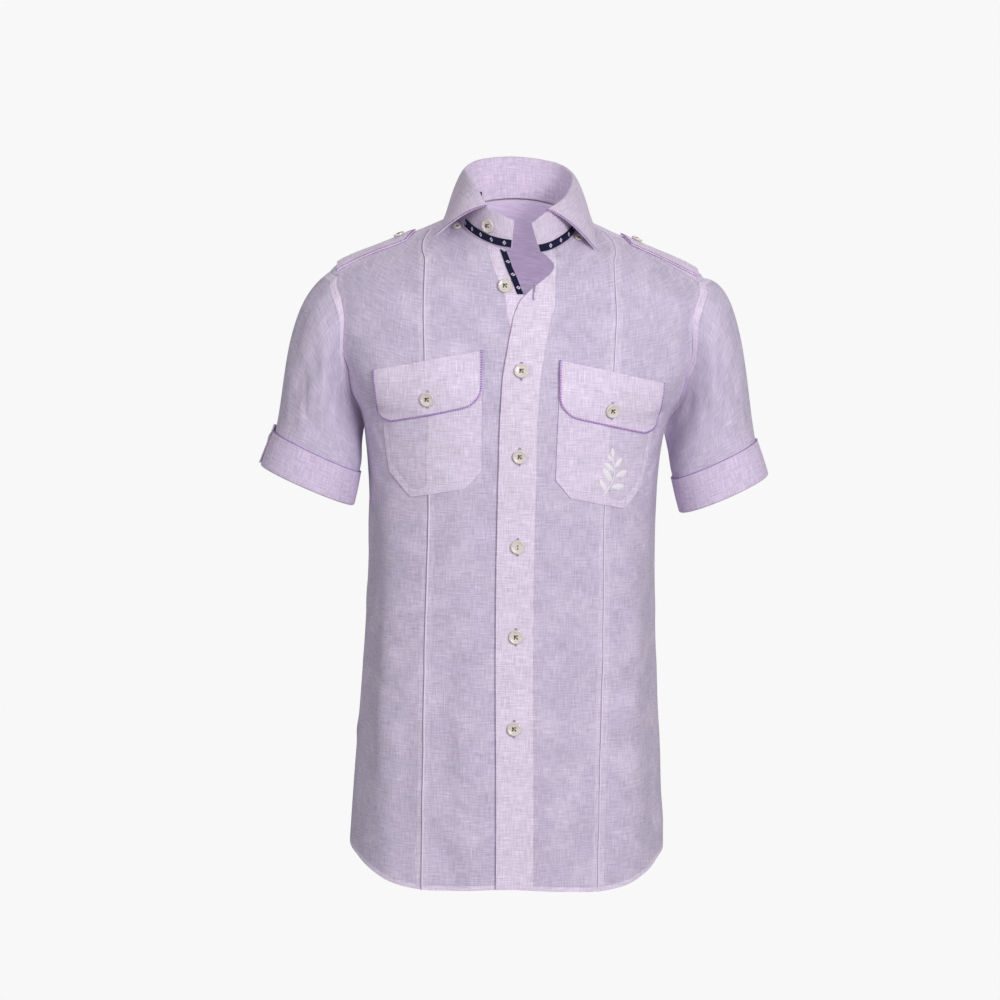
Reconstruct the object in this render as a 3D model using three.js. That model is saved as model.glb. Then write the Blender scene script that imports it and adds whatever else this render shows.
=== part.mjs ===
import * as THREE from 'three';

// Short-sleeve utility shirt in linen, filled out as when worn, with nobody in it. Millimetres.
// +X is the wearer's left, -Y the front and +Z up. The origin is the middle of the neck hole at
// the height of the shoulder points, where the wearer's shoulders carry the shirt.
// An angle goes round the body in degrees: 0 at the centre front, 90 at the wearer's left side,
// 180 at the centre back. A level is a place in the list of body sections: 0 is the lowest row.

// Cloth and gaps
const CLOTH = 1.2;
const DOUBLE_CLOTH = 2.0;
const COLLAR_CLOTH = 1.8;
const SEAM_HALF_GAP = 0.17;
const LAYER_GAP = 0.8;

// Body sections, from under the hem up to the neck seam
const BODY_SECTIONS = [
  { halfWidth: 185, front: 123, back: 118, zFront: -790, zSide: -790, zBack: -790, square: 2.4 },
  { halfWidth: 178, front: 119, back: 116, zFront: -650, zSide: -650, zBack: -650, square: 2.4 },
  { halfWidth: 168, front: 113, back: 107, zFront: -480, zSide: -480, zBack: -480, square: 2.4 },
  { halfWidth: 165, front: 115, back: 106, zFront: -340, zSide: -340, zBack: -340, square: 2.4 },
  { halfWidth: 172, front: 121, back: 111, zFront: -232, zSide: -232, zBack: -232, square: 2.4 },
  { halfWidth: 190, front: 122, back: 113, zFront: -206, zSide: -190, zBack: -200, square: 2.4 },
  { halfWidth: 206, front: 120, back: 113, zFront: -180, zSide: -140, zBack: -165, square: 2.4 },
  { halfWidth: 213, front: 114, back: 107, zFront: -145, zSide: -92, zBack: -120, square: 2.3 },
  { halfWidth: 209, front: 105, back: 95, zFront: -108, zSide: -54, zBack: -70, square: 2.2 },
  { halfWidth: 141, front: 93, back: 72, zFront: -62, zSide: -22.5, zBack: -14, square: 2.1 },
  { halfWidth: 69, front: 83, back: 49, zFront: -31, zSide: 6, zBack: 28, square: 2.0 },
];
const UNDERARM_LEVEL = 4;
const CHEST_LEVEL = 7;
const TIP_LEVEL = 8;
const NECK_LEVEL = 10;
const SHOULDER_FALL = 1.3;
const NORMAL_STEP = { angle: 1, level: 0.02 };
const WIDEST_FRONT_ANGLE = 89;
const FIRST_TRIED_ANGLE = 30;
const HALVINGS = 40;
const PLACE_ROUNDS = 6;

// Where the seams run
const SIDE_ANGLE = 90;
const YOKE_FRONT_ANGLE = 82;
const YOKE_BACK_END = { angle: 106, level: 7.6 };
const YOKE_BACK_LEVEL = 8;
const ARMHOLE_FRONT = [
  { level: 4, angle: 90 },
  { level: 4.6, angle: 85 },
  { level: 5.4, angle: 79 },
  { level: 6.2, angle: 76 },
  { level: 7, angle: 74.5 },
  { level: 7.6, angle: 76.5 },
  { level: 8, angle: 82 },
];
const ARMHOLE_BACK = [
  { level: 4, angle: 90 },
  { level: 4.6, angle: 94 },
  { level: 5.4, angle: 99 },
  { level: 6.2, angle: 102 },
  { level: 7, angle: 104.5 },
  { level: 7.6, angle: 106 },
];
const DART_SEAM_X = [
  { level: 0, x: 99 },
  { level: 2, x: 100 },
  { level: 3, x: 98 },
  { level: 4, x: 100 },
  { level: 6, x: 104 },
  { level: 8, x: 107 },
  { level: 9, x: 106 },
];
const DART_SEAM_TOP_X = 99;
const HEM_HEIGHT = [
  { angle: 0, z: -744 },
  { angle: 40, z: -748 },
  { angle: 52, z: -744 },
  { angle: 64, z: -733 },
  { angle: 76, z: -721 },
  { angle: 90, z: -714 },
  { angle: 104, z: -718 },
  { angle: 120, z: -740 },
  { angle: 140, z: -758 },
  { angle: 180, z: -762 },
];

// Front edges: the wearer's left front laps over the right one, and both open above the chest
const PLACKET_HALF = 21;
const PLACKET_LIFT = 1.3;
const DOUBLED_FROM = 0.5;
const PLACKET_BLEND = 24;
const OVER_EDGE = [
  { level: 0, x: -16 },
  { level: 1, x: -18 },
  { level: 2, x: -21.5 },
  { level: 3, x: -22.5 },
  { level: 6.2, x: -20 },
  { level: 7.45, x: -13 },
  { level: 8.1, x: -8 },
  { level: 8.45, x: -1 },
  { level: 8.7, x: 11 },
  { level: 8.9, x: 23 },
  { level: 9.1, x: 33 },
  { level: 9.3, x: 34 },
  { level: 9.55, x: 29 },
  { level: 9.76, x: 21 },
];
const UNDER_EDGE = [
  { level: 6.2, x: 21 },
  { level: 7.45, x: 13 },
  { level: 8.6, x: 3 },
  { level: 8.9, x: -3 },
  { level: 9.3, x: -10 },
  { level: 10, x: -17 },
];
const NECK_SEAM = [
  { angle: -10, level: 10 },
  { angle: 14, level: 9.76 },
  { angle: 34, level: 9.85 },
  { angle: 62, level: 10 },
];
const LAPEL_ROLL = 9;
const UNDER_LAPEL_ROLL = 3;
const LAPEL_WIDTH = 42;
const LAPEL_FROM = 8.2;
const LAPEL_MIDDLE = 9.3;

// Soft folds of the body: a line from one place to another, its half width and its height
const BODY_FOLDS = [
  { fromAngle: 76, fromLevel: 5.6, toAngle: 67, toLevel: 4.6, width: 6, height: -3.0 },
  { fromAngle: -76, fromLevel: 5.6, toAngle: -67, toLevel: 4.6, width: 6, height: -3.0 },
  { fromAngle: 80, fromLevel: 3.4, toAngle: 72, toLevel: 0.9, width: 8, height: -4.5 },
  { fromAngle: -80, fromLevel: 3.2, toAngle: -74, toLevel: 1.0, width: 8, height: -4.5 },
  { fromAngle: 57, fromLevel: 2.6, toAngle: 54, toLevel: 0.2, width: 8, height: 3.0 },
  { fromAngle: -59, fromLevel: 2.4, toAngle: -55, toLevel: 0.2, width: 8, height: 3.0 },
  { fromAngle: 33, fromLevel: 1.7, toAngle: 30, toLevel: 0, width: 7, height: -2.5 },
  { fromAngle: -35, fromLevel: 2.0, toAngle: -31, toLevel: 0, width: 7, height: -2.5 },
  { fromAngle: 106, fromLevel: 5.6, toAngle: 140, toLevel: 3.8, width: 8, height: -4.0 },
  { fromAngle: -106, fromLevel: 5.6, toAngle: -138, toLevel: 3.9, width: 8, height: -4.0 },
  { fromAngle: 150, fromLevel: 3.6, toAngle: 146, toLevel: 0.6, width: 9, height: -6.0 },
  { fromAngle: -152, fromLevel: 3.5, toAngle: -147, toLevel: 0.7, width: 9, height: -5.5 },
  { fromAngle: 172, fromLevel: 3.2, toAngle: 169, toLevel: 0.2, width: 8, height: 4.0 },
  { fromAngle: -168, fromLevel: 2.9, toAngle: -171, toLevel: 0.2, width: 8, height: 4.0 },
  { fromAngle: 120, fromLevel: 2.8, toAngle: 124, toLevel: 0.2, width: 9, height: 3.5 },
  { fromAngle: -121, fromLevel: 2.9, toAngle: -125, toLevel: 0.2, width: 9, height: 3.5 },
];
const BODY_FOLD_SCALE = 22;

// Counts of cells along each stretch of seam
const ROWS_TO_UNDERARM = 13;
const ROW_CROWDING = 1.4;
const DART_LEVELS_ABOVE = [4.35, 4.8, 5.4, 6.1, 6.8, 7.5, 8.1, 8.6, 9.1];
const OPEN_EDGE_LEVELS = [6.4, 7.4, 8.2, 8.65, 8.95, 9.3];
const ROWS_UNDER_CHEST = 3;
const ARMHOLE_CELLS = 10;
const ARMHOLE_BACK_CELLS = 8;
const YOKE_END_CELLS = 2;
const YOKE_NECK_CELLS = 2;
const FRONT_NECK_CELLS = 6;
const SIDE_CELLS = 8;
const PLACKET_COLUMNS = [0, 21, 42, 56, 74];
const BACK_CELLS = 20;

// Sleeves, seen on the wearer's left. The right one is mirrored and hangs nearer the body.
const SLEEVES = {
  left: {
    mirror: 1,
    cuffTop: { outerX: 276, outerZ: -242, innerX: 183, innerZ: -288 },
    cuffEnd: { outerX: 290, outerZ: -280, innerX: 193, innerZ: -325 },
    halfDepth: 54,
    headWay: { x: 1.0, z: -0.02 },
    headPush: 0.72,
    tabTurn: -52,
  },
  right: {
    mirror: -1,
    cuffTop: { outerX: 273, outerZ: -242, innerX: 177, innerZ: -286 },
    cuffEnd: { outerX: 287, outerZ: -279, innerX: 184, innerZ: -322 },
    halfDepth: 52,
    headWay: { x: 0.82, z: -0.57 },
    headPush: 1,
    tabTurn: -20,
  },
};
const SLEEVE_FORWARD = -8;
const SLEEVE_ROWS = 8;
const CUFF_ROWS = 2;
const CUFF_LIFT = 2.0;
const CUFF_CLOTH = 1.6;
const SLEEVE_STOPS_SHORT = 0.06;
const SLEEVE_LOW_WAY = { x: 0.2, z: -0.98 };
const SLEEVE_SPREAD = 0.35;
const SLEEVE_FOLDS = [
  { fromTurn: 60, fromAlong: 0.45, toTurn: 30, toAlong: 0.95, width: 13, height: -3.5 },
  { fromTurn: 130, fromAlong: 0.25, toTurn: 85, toAlong: 0.8, width: 14, height: -4.0 },
  { fromTurn: -130, fromAlong: 0.25, toTurn: -80, toAlong: 0.85, width: 14, height: -4.0 },
  { fromTurn: -50, fromAlong: 0.4, toTurn: -25, toAlong: 0.95, width: 12, height: -2.5 },
];
const SLEEVE_FOLD_SCALE = 120;
const SLEEVE_FOLD_FADE = { whole: 0.2, from: 0.8 };

// Patch pockets and flaps, by x and z as seen from the front on the wearer's left
const POCKET = {
  innerTop: { x: 43, z: -166 },
  outerTop: { x: 156, z: -190 },
  innerX: 41,
  outerX: 141,
  lowInnerZ: -296,
  lowOuterZ: -316,
  innerCut: { x: 17, z: 17 },
  outerCut: { x: 22, z: 31 },
  cornerSteps: 1,
  straightSteps: 9,
  rows: 10,
  half: CLOTH / 2,
};
const FLAP = {
  innerTop: { x: 43, z: -147 },
  outerTop: { x: 161, z: -171 },
  innerX: 43,
  outerX: 155,
  lowInnerZ: -206,
  lowOuterZ: -231,
  innerCut: { x: 20, z: 19 },
  outerCut: { x: 20, z: 21 },
  cornerSteps: 3,
  straightSteps: 7,
  rows: 8,
  half: 0.7,
};
const POCKET_DROP = { left: -4.5, right: 4.5 };
const FLAP_BUTTON = { x: 101, z: -201 };

// Shoulder straps on the shoulder line, from the armhole to a pointed end near the collar
const STRAP = { fromX: 204, toX: 116, halfWidth: 21, point: 11, half: 0.8, rows: 7, columns: 4 };
const STRAP_BUTTON_X = 134;

// Collar: its fold and the edge of its fall, round the back from the wearer's right to the left
const COLLAR = [
  { turn: 24, foldX: -40, foldY: -78, foldZ: 17, edgeX: -95, edgeY: -60, edgeZ: -16, roll: 5 },
  { turn: 45, foldX: -52, foldY: -61, foldZ: 37, edgeX: -88, edgeY: -33, edgeZ: -3, roll: 4 },
  { turn: 70, foldX: -60, foldY: -28, foldZ: 52, edgeX: -84, edgeY: -6, edgeZ: 5, roll: 3 },
  { turn: 100, foldX: -62, foldY: 10, foldZ: 61, edgeX: -79, edgeY: 26, edgeZ: 9, roll: 3 },
  { turn: 140, foldX: -43, foldY: 41, foldZ: 72, edgeX: -54, edgeY: 54, edgeZ: 15, roll: 4 },
  { turn: 180, foldX: 0, foldY: 52, foldZ: 76, edgeX: 0, edgeY: 66, edgeZ: 20, roll: 4 },
  { turn: 220, foldX: 43, foldY: 41, foldZ: 70, edgeX: 54, edgeY: 54, edgeZ: 15, roll: 4 },
  { turn: 260, foldX: 61, foldY: 10, foldZ: 58, edgeX: 79, edgeY: 26, edgeZ: 9, roll: 3 },
  { turn: 290, foldX: 60, foldY: -28, foldZ: 44, edgeX: 83, edgeY: -6, edgeZ: 4, roll: 3 },
  { turn: 315, foldX: 48, foldY: -62, foldZ: 27, edgeX: 84, edgeY: -34, edgeZ: -8, roll: 4 },
  { turn: 336, foldX: 28, foldY: -80, foldZ: 14, edgeX: 84, edgeY: -60, edgeZ: -28, roll: 5 },
];
const STAND_ENDS = {
  right: [
    { turn: 7.5, x: -9, y: -85, z: 2 },
    { turn: 15, x: -24, y: -84, z: 8 },
  ],
  left: [
    { turn: 346, x: 10, y: -87, z: -1 },
  ],
};
const STAND_CLOTH = 2.0;
const STAND_ABOVE_SEAM = 1.3;
const STAND_INSIDE_FOLD = 2.1;
const STAND_UNDER_FOLD = 1.4;
const STAND_COLUMNS = 32;
const STAND_ROWS = 3;
const FALL_COLUMNS = 28;
const FALL_ROWS = 5;
const NECK_MIDDLE_Y = -16;
const FALL_SWELL = { outward: 0.8, upward: 0.6, skew: 0.75 };

// Dark tape over the seam of the stand and down the edge of the under front
const TAPE_CLOTH = 0.8;
const TAPE_WIDTH = 8.5;
const TAPE_GAP = 0.35;
const TAPE_ABOVE_SEAM = 1.2;
const STAND_TAPES = {
  right: { fromTurn: 8, toTurn: 58 },
  left: { fromTurn: 302, toTurn: 345.5 },
};
const TAPE_COLUMNS = 8;
const EDGE_TAPE = { fromLevel: 8.6, toLevel: 9.9, width: 7, rows: 6 };
const SIZE_TAB = { fromTurn: 127, toTurn: 134, low: 0.1, high: 0.26 };

// Turned-up sleeve tabs
const SLEEVE_TAB = { halfTurn: 17, lift: 4.0, half: 0.7, overCuff: 0.16, columns: 4, rows: 3 };
const TAB_BUTTON_CELL = { row: 2, column: 2 };

// Buttons: one on the stand, six down the front, two on the flaps, the rest on straps and tabs
const BUTTON_PROFILE = [
  { radius: 0, height: 0 },
  { radius: 0.9, height: 0 },
  { radius: 1, height: 0.4 },
  { radius: 0.93, height: 1 },
  { radius: 0.68, height: 0.8 },
  { radius: 0, height: 0.8 },
];
const BUTTON_SIDES = 12;
const LARGE_BUTTON = { radius: 8, height: 3 };
const MEDIUM_BUTTON = { radius: 6.5, height: 2.6 };
const SMALL_BUTTON = { radius: 4.8, height: 2.2 };
const BUTTON_GAP = 0.4;
const OPEN_BUTTON = { x: -18, z: -71 };
const BUTTON_LINE_X = 0.5;
const CLOSED_BUTTON_HEIGHTS = [-164, -258, -359, -460, -563];
const COLLAR_BUTTONS = {
  left: { angle: 53, level: 9.78 },
  right: { angle: -66, level: 9.86 },
};
const STAND_BUTTON = { turn: 24.5, share: 0.5, turnStep: 4, shareStep: 0.2 };
const BUTTON_SEAT_STEP = { angle: 3, level: 0.2 };

// Colours of the materials
const LILAC_SINGLE = 0xc3b8d0;
const LILAC_DOUBLE = 0xd9cce2;
const LILAC_COLLAR = 0xc9bdd3;
const NAVY = 0x14143a;
const PEARL = 0xd8cfc4;
const CLOTH_ROUGHNESS = 0.9;
const PEARL_ROUGHNESS = 0.3;

const RADIANS = Math.PI / 180;

/** Smooth step from 0 at low to 1 at high. */
function smooth(value, low, high) {
  const t = Math.min(Math.max((value - low) / (high - low), 0), 1);
  return t * t * (3 - 2 * t);
}

/** Smooth curve through four numbers, from the second at 0 to the third at 1. */
function throughFour(before, start, end, after, t) {
  const square = t * t;
  const cube = square * t;
  return 0.5 * (2 * start + (end - before) * t
    + (2 * before - 5 * start + 4 * end - after) * square
    + (3 * start - before - 3 * end + after) * cube);
}

/** A column of a table at a place along its key column, straight between rows with soft ends. */
function fromTable(rows, key, column, place) {
  const last = rows.length - 1;
  if (place <= rows[0][key]) return rows[0][column];
  if (place >= rows[last][key]) return rows[last][column];
  let row = 0;
  while (rows[row + 1][key] < place) row += 1;
  const t = (place - rows[row][key]) / (rows[row + 1][key] - rows[row][key]);
  const before = rows[Math.max(row - 1, 0)][column];
  const after = rows[Math.min(row + 2, last)][column];
  return throughFour(before, rows[row][column], rows[row + 1][column], after, t);
}

/** The body section at a level, each measure on a smooth curve through the table's rows. */
function sectionAt(level) {
  const last = BODY_SECTIONS.length - 1;
  const row = Math.min(Math.max(Math.floor(level), 0), last - 1);
  const section = {};
  for (const name of Object.keys(BODY_SECTIONS[0])) {
    section[name] = throughFour(
      BODY_SECTIONS[Math.max(row - 1, 0)][name],
      BODY_SECTIONS[row][name],
      BODY_SECTIONS[row + 1][name],
      BODY_SECTIONS[Math.min(row + 2, last)][name],
      level - row,
    );
  }
  return section;
}

/** An angle brought between -180 and 180. */
function wrapped(angle) {
  return angle - 360 * Math.round(angle / 360);
}

/** Height of the soft folds at a place that is given by its distances along and across. */
function foldHeight(folds, across, along, acrossName, alongName, alongScale) {
  let height = 0;
  for (const fold of folds) {
    const startAcross = fold[`from${acrossName}`];
    const startAlong = fold[`from${alongName}`] * alongScale;
    const runAcross = wrapped(fold[`to${acrossName}`] - startAcross);
    const runAlong = fold[`to${alongName}`] * alongScale - startAlong;
    const fromStart = wrapped(across - startAcross);
    const upStart = along * alongScale - startAlong;
    const lengthSquared = runAcross * runAcross + runAlong * runAlong;
    const t = (fromStart * runAcross + upStart * runAlong) / lengthSquared;
    const held = Math.min(Math.max(t, 0), 1);
    const missAcross = fromStart - held * runAcross;
    const missAlong = upStart - held * runAlong;
    const miss = (missAcross * missAcross + missAlong * missAlong) / (fold.width * fold.width);
    height += fold.height * Math.exp(-miss);
  }
  return height;
}

/** A point of the body's cloth, at the middle of its thickness. */
function bodyPoint(angle, level) {
  const section = sectionAt(level);
  const sine = Math.sin(angle * RADIANS);
  const cosine = Math.cos(angle * RADIANS);
  const depth = cosine > 0 ? section.front : section.back;
  const zEnd = cosine > 0 ? section.zFront : section.zBack;
  const power = section.square;
  const share = Math.abs(sine / section.halfWidth) ** power + Math.abs(cosine / depth) ** power;
  const fold = foldHeight(BODY_FOLDS, angle, level, 'Angle', 'Level', BODY_FOLD_SCALE);
  const radius = share ** (-1 / power) + fold;
  const reach = Math.abs(radius * cosine) / depth;
  const z = section.zSide + (zEnd - section.zSide) * reach ** SHOULDER_FALL;
  return new THREE.Vector3(radius * sine, -radius * cosine, z);
}

/** The way out of the body's cloth at a place. */
function bodyNormal(angle, level) {
  const { angle: turn, level: step } = NORMAL_STEP;
  const up = Math.min(level + step, NECK_LEVEL);
  const round = bodyPoint(angle + turn, level).sub(bodyPoint(angle - turn, level));
  const rise = bodyPoint(angle, up).sub(bodyPoint(angle, level - step));
  return round.cross(rise).normalize();
}

/** A value between low and high where a rising function reaches the target. */
function whereReached(rising, target, low, high) {
  let bottom = low;
  let top = high;
  for (let turn = 0; turn < HALVINGS; turn += 1) {
    const middle = (bottom + top) / 2;
    if (rising(middle) < target) bottom = middle;
    else top = middle;
  }
  return (bottom + top) / 2;
}

/** The angle at which the front of a level has a given x. */
function angleAtX(x, level) {
  const side = Math.sign(x);
  const reach = (tried) => side * bodyPoint(side * tried, level).x;
  return side * whereReached(reach, Math.abs(x), 0, WIDEST_FRONT_ANGLE);
}

/** The level at which an angle of the body has a given height. */
function levelAtHeight(z, angle) {
  return whereReached((tried) => bodyPoint(angle, tried).z, z, 0, NECK_LEVEL);
}

/** The place on the front that is seen at a given x and z. */
function placeOnFront(x, z) {
  const place = { angle: Math.sign(x) * FIRST_TRIED_ANGLE, level: CHEST_LEVEL };
  for (let turn = 0; turn < PLACE_ROUNDS; turn += 1) {
    place.level = levelAtHeight(z, place.angle);
    place.angle = angleAtX(x, place.level);
  }
  return place;
}

/** The place on a shoulder that is seen from above at a given x and y. */
function placeOnShoulder(x, y) {
  const angle = Math.atan2(x, -y) / RADIANS;
  const nearness = (tried) => -Math.hypot(bodyPoint(angle, tried).x, bodyPoint(angle, tried).y);
  return { angle, level: whereReached(nearness, -Math.hypot(x, y), CHEST_LEVEL, NECK_LEVEL) };
}

/** The level of the hem at an angle. */
function hemLevel(angle) {
  return levelAtHeight(fromTable(HEM_HEIGHT, 'angle', 'z', Math.abs(wrapped(angle))), angle);
}

/** Inside places of a patch from its four edges, each a list of places with matching ends. */
function patch(bottom, top, left, right) {
  const columns = bottom.length - 1;
  const rows = left.length - 1;
  const grid = [];
  for (let row = 0; row <= rows; row += 1) {
    const line = [];
    const t = row / rows;
    for (let column = 0; column <= columns; column += 1) {
      const s = column / columns;
      const place = {};
      for (const name of Object.keys(bottom[0])) {
        place[name] = (1 - t) * bottom[column][name] + t * top[column][name]
          + (1 - s) * left[row][name] + s * right[row][name]
          - (1 - s) * (1 - t) * bottom[0][name] - s * (1 - t) * bottom[columns][name]
          - (1 - s) * t * top[0][name] - s * t * top[columns][name];
      }
      line.push(place);
    }
    grid.push(line);
  }
  return grid;
}

/**
 * A closed wall of cloth. Each spot has a middle point, the way out and a half thickness.
 * A tube's last column meets its first.
 */
function clothWall(spots, isTube = false) {
  const rows = spots.length;
  const columns = spots[0].length;
  const positions = [];
  const faces = [];
  for (const side of [1, -1]) {
    for (const line of spots) {
      for (const spot of line) {
        const point = spot.point.clone().addScaledVector(spot.out, side * spot.half);
        positions.push(point.x, point.y, point.z);
      }
    }
  }
  const outer = (row, column) => row * columns + (column % columns);
  const inner = (row, column) => rows * columns + outer(row, column);
  const cells = isTube ? columns : columns - 1;
  const corner = spots[1][1].point;
  const along = spots[1][2].point.clone().sub(corner);
  const up = spots[2 % rows][1].point.clone().sub(corner);
  if (rows === 2) up.multiplyScalar(-1);
  const facesOut = along.cross(up).dot(spots[1][1].out) > 0;
  const quad = (a, b, c, d) => {
    if (facesOut) faces.push(a, b, c, a, c, d);
    else faces.push(a, c, b, a, d, c);
  };
  for (let row = 0; row < rows - 1; row += 1) {
    for (let column = 0; column < cells; column += 1) {
      quad(outer(row, column), outer(row, column + 1),
        outer(row + 1, column + 1), outer(row + 1, column));
      quad(inner(row, column), inner(row + 1, column),
        inner(row + 1, column + 1), inner(row, column + 1));
    }
  }
  for (let column = 0; column < cells; column += 1) {
    quad(outer(0, column), inner(0, column), inner(0, column + 1), outer(0, column + 1));
    quad(outer(rows - 1, column), outer(rows - 1, column + 1),
      inner(rows - 1, column + 1), inner(rows - 1, column));
  }
  if (!isTube) {
    for (let row = 0; row < rows - 1; row += 1) {
      quad(outer(row, 0), outer(row + 1, 0), inner(row + 1, 0), inner(row, 0));
      quad(outer(row, cells), inner(row, cells), inner(row + 1, cells), outer(row + 1, cells));
    }
  }
  const geometry = new THREE.BufferGeometry();
  geometry.setAttribute('position', new THREE.Float32BufferAttribute(positions, 3));
  geometry.setIndex(faces);
  geometry.computeVertexNormals();
  return geometry;
}

/** Moves an edge's points into the piece, square to the edge, by half of the seam's gap. */
function drawIn(spots, edge, amount = SEAM_HALF_GAP) {
  const lastRow = spots.length - 1;
  const lastColumn = spots[0].length - 1;
  const isAcross = edge === 'bottom' || edge === 'top';
  const count = isAcross ? lastColumn : lastRow;
  const at = (index, depth) => {
    if (edge === 'bottom') return spots[depth][index];
    if (edge === 'top') return spots[lastRow - depth][index];
    if (edge === 'left') return spots[index][depth];
    return spots[index][lastColumn - depth];
  };
  const moves = [];
  for (let index = 0; index <= count; index += 1) {
    const next = at(Math.min(index + 1, count), 0).point;
    const before = at(Math.max(index - 1, 0), 0).point;
    const run = next.clone().sub(before).normalize();
    const inward = at(index, 1).point.clone().sub(at(index, 0).point);
    inward.addScaledVector(run, -inward.dot(run)).normalize();
    moves.push(inward.multiplyScalar(amount));
  }
  moves.forEach((move, index) => at(index, 0).point.add(move));
}

/** Spots of the body's cloth for a grid of places, lifted off it and as thick as asked. */
function bodySpots(places, lift = () => 0, half = () => CLOTH / 2) {
  return places.map((line) => line.map((place) => {
    const out = bodyNormal(place.angle, place.level);
    const point = bodyPoint(place.angle, place.level);
    point.addScaledVector(out, lift(place, point));
    return { point, out, half: half(place, point) };
  }));
}

/** The level of the neck's seam at an angle: it hangs lower near the end of the over front. */
function neckSeamLevel(angle) {
  return fromTable(NECK_SEAM, 'angle', 'level', wrapped(angle));
}

/** Even steps from one place or point to another, both included. */
function evenSteps(from, to, count) {
  const steps = [];
  for (let index = 0; index <= count; index += 1) {
    const t = index / count;
    const step = {};
    for (const name of Object.keys(from)) {
      step[name] = from[name] + (to[name] - from[name]) * t;
    }
    steps.push(step);
  }
  return steps;
}

/** A row's share of the way from the hem to the underarm, with the rows closer near its top. */
function rowShare(row) {
  return 1 - (1 - row / ROWS_TO_UNDERARM) ** ROW_CROWDING;
}

/** The side seam, from the hem to the underarm. */
function sideSeam() {
  const hem = hemLevel(SIDE_ANGLE);
  const seam = [];
  for (let row = 0; row <= ROWS_TO_UNDERARM; row += 1) {
    seam.push({ angle: SIDE_ANGLE, level: hem + (UNDERARM_LEVEL - hem) * rowShare(row) });
  }
  return seam;
}

/** The seam that runs up each front beside the placket, from the hem to the yoke. */
function dartSeam() {
  const hemX = fromTable(DART_SEAM_X, 'level', 'x', 0);
  const hem = { angle: angleAtX(hemX, hemLevel(0)), level: 0 };
  hem.level = hemLevel(hem.angle);
  const seam = [];
  for (let row = 0; row <= ROWS_TO_UNDERARM; row += 1) {
    const level = hem.level + (UNDERARM_LEVEL - hem.level) * rowShare(row);
    seam.push({ angle: angleAtX(fromTable(DART_SEAM_X, 'level', 'x', level), level), level });
  }
  for (const level of DART_LEVELS_ABOVE) {
    seam.push({ angle: angleAtX(fromTable(DART_SEAM_X, 'level', 'x', level), level), level });
  }
  const fallX = (level) => -bodyPoint(YOKE_FRONT_ANGLE, level).x;
  const topLevel = whereReached(fallX, -DART_SEAM_TOP_X, TIP_LEVEL, NECK_LEVEL);
  seam.push({ angle: YOKE_FRONT_ANGLE, level: topLevel });
  return seam;
}

/** Even steps along a table of places, measured by level. */
function alongArmhole(table, count) {
  const first = table[0].level;
  const last = table[table.length - 1].level;
  const steps = [];
  for (let index = 0; index <= count; index += 1) {
    const level = first + (last - first) * (index / count);
    steps.push({ angle: fromTable(table, 'level', 'angle', level), level });
  }
  return steps;
}

const DART_SEAM = dartSeam();
const DART_TOP = DART_SEAM[DART_SEAM.length - 1];
const ARMHOLE_FRONT_STEPS = alongArmhole(ARMHOLE_FRONT, ARMHOLE_CELLS);
const ARMHOLE_BACK_STEPS = alongArmhole(ARMHOLE_BACK, ARMHOLE_BACK_CELLS);
const TIP = ARMHOLE_FRONT_STEPS[ARMHOLE_CELLS];
const YOKE_END_STEPS = evenSteps(TIP, YOKE_BACK_END, YOKE_END_CELLS);

/** How much of the placket's lift is left, 1 to 0, at an x towards the front's own side. */
function placketShare(ownX) {
  return 1 - smooth(ownX, PLACKET_HALF, PLACKET_HALF + PLACKET_BLEND);
}

/** How far the open top of a front rolls outward at a distance from its free edge. */
function lapelRoll(fromEdge, level, height) {
  const near = 1 - smooth(fromEdge, 0, LAPEL_WIDTH);
  const rise = smooth(level, LAPEL_FROM, LAPEL_MIDDLE);
  const fall = 1 - smooth(level, LAPEL_MIDDLE, NECK_LEVEL);
  return height * near * near * rise * fall;
}

const FRONTS = {
  left: { side: 1, edge: OVER_EDGE, lift: PLACKET_LIFT, roll: LAPEL_ROLL },
  right: { side: -1, edge: UNDER_EDGE, lift: -PLACKET_LIFT, roll: UNDER_LAPEL_ROLL },
};

/** Distance off the body's cloth of a front near its placket. */
function frontLift(front, place, point) {
  const ownX = front.side * point.x;
  const edge = front.side * fromTable(front.edge, 'level', 'x', place.level);
  return front.lift * placketShare(ownX) + lapelRoll(ownX - edge, place.level, front.roll);
}

/** Mirrors places to the wearer's right. */
function onSide(places, side) {
  return places.map((place) => ({ angle: side * place.angle, level: place.level }));
}

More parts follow.
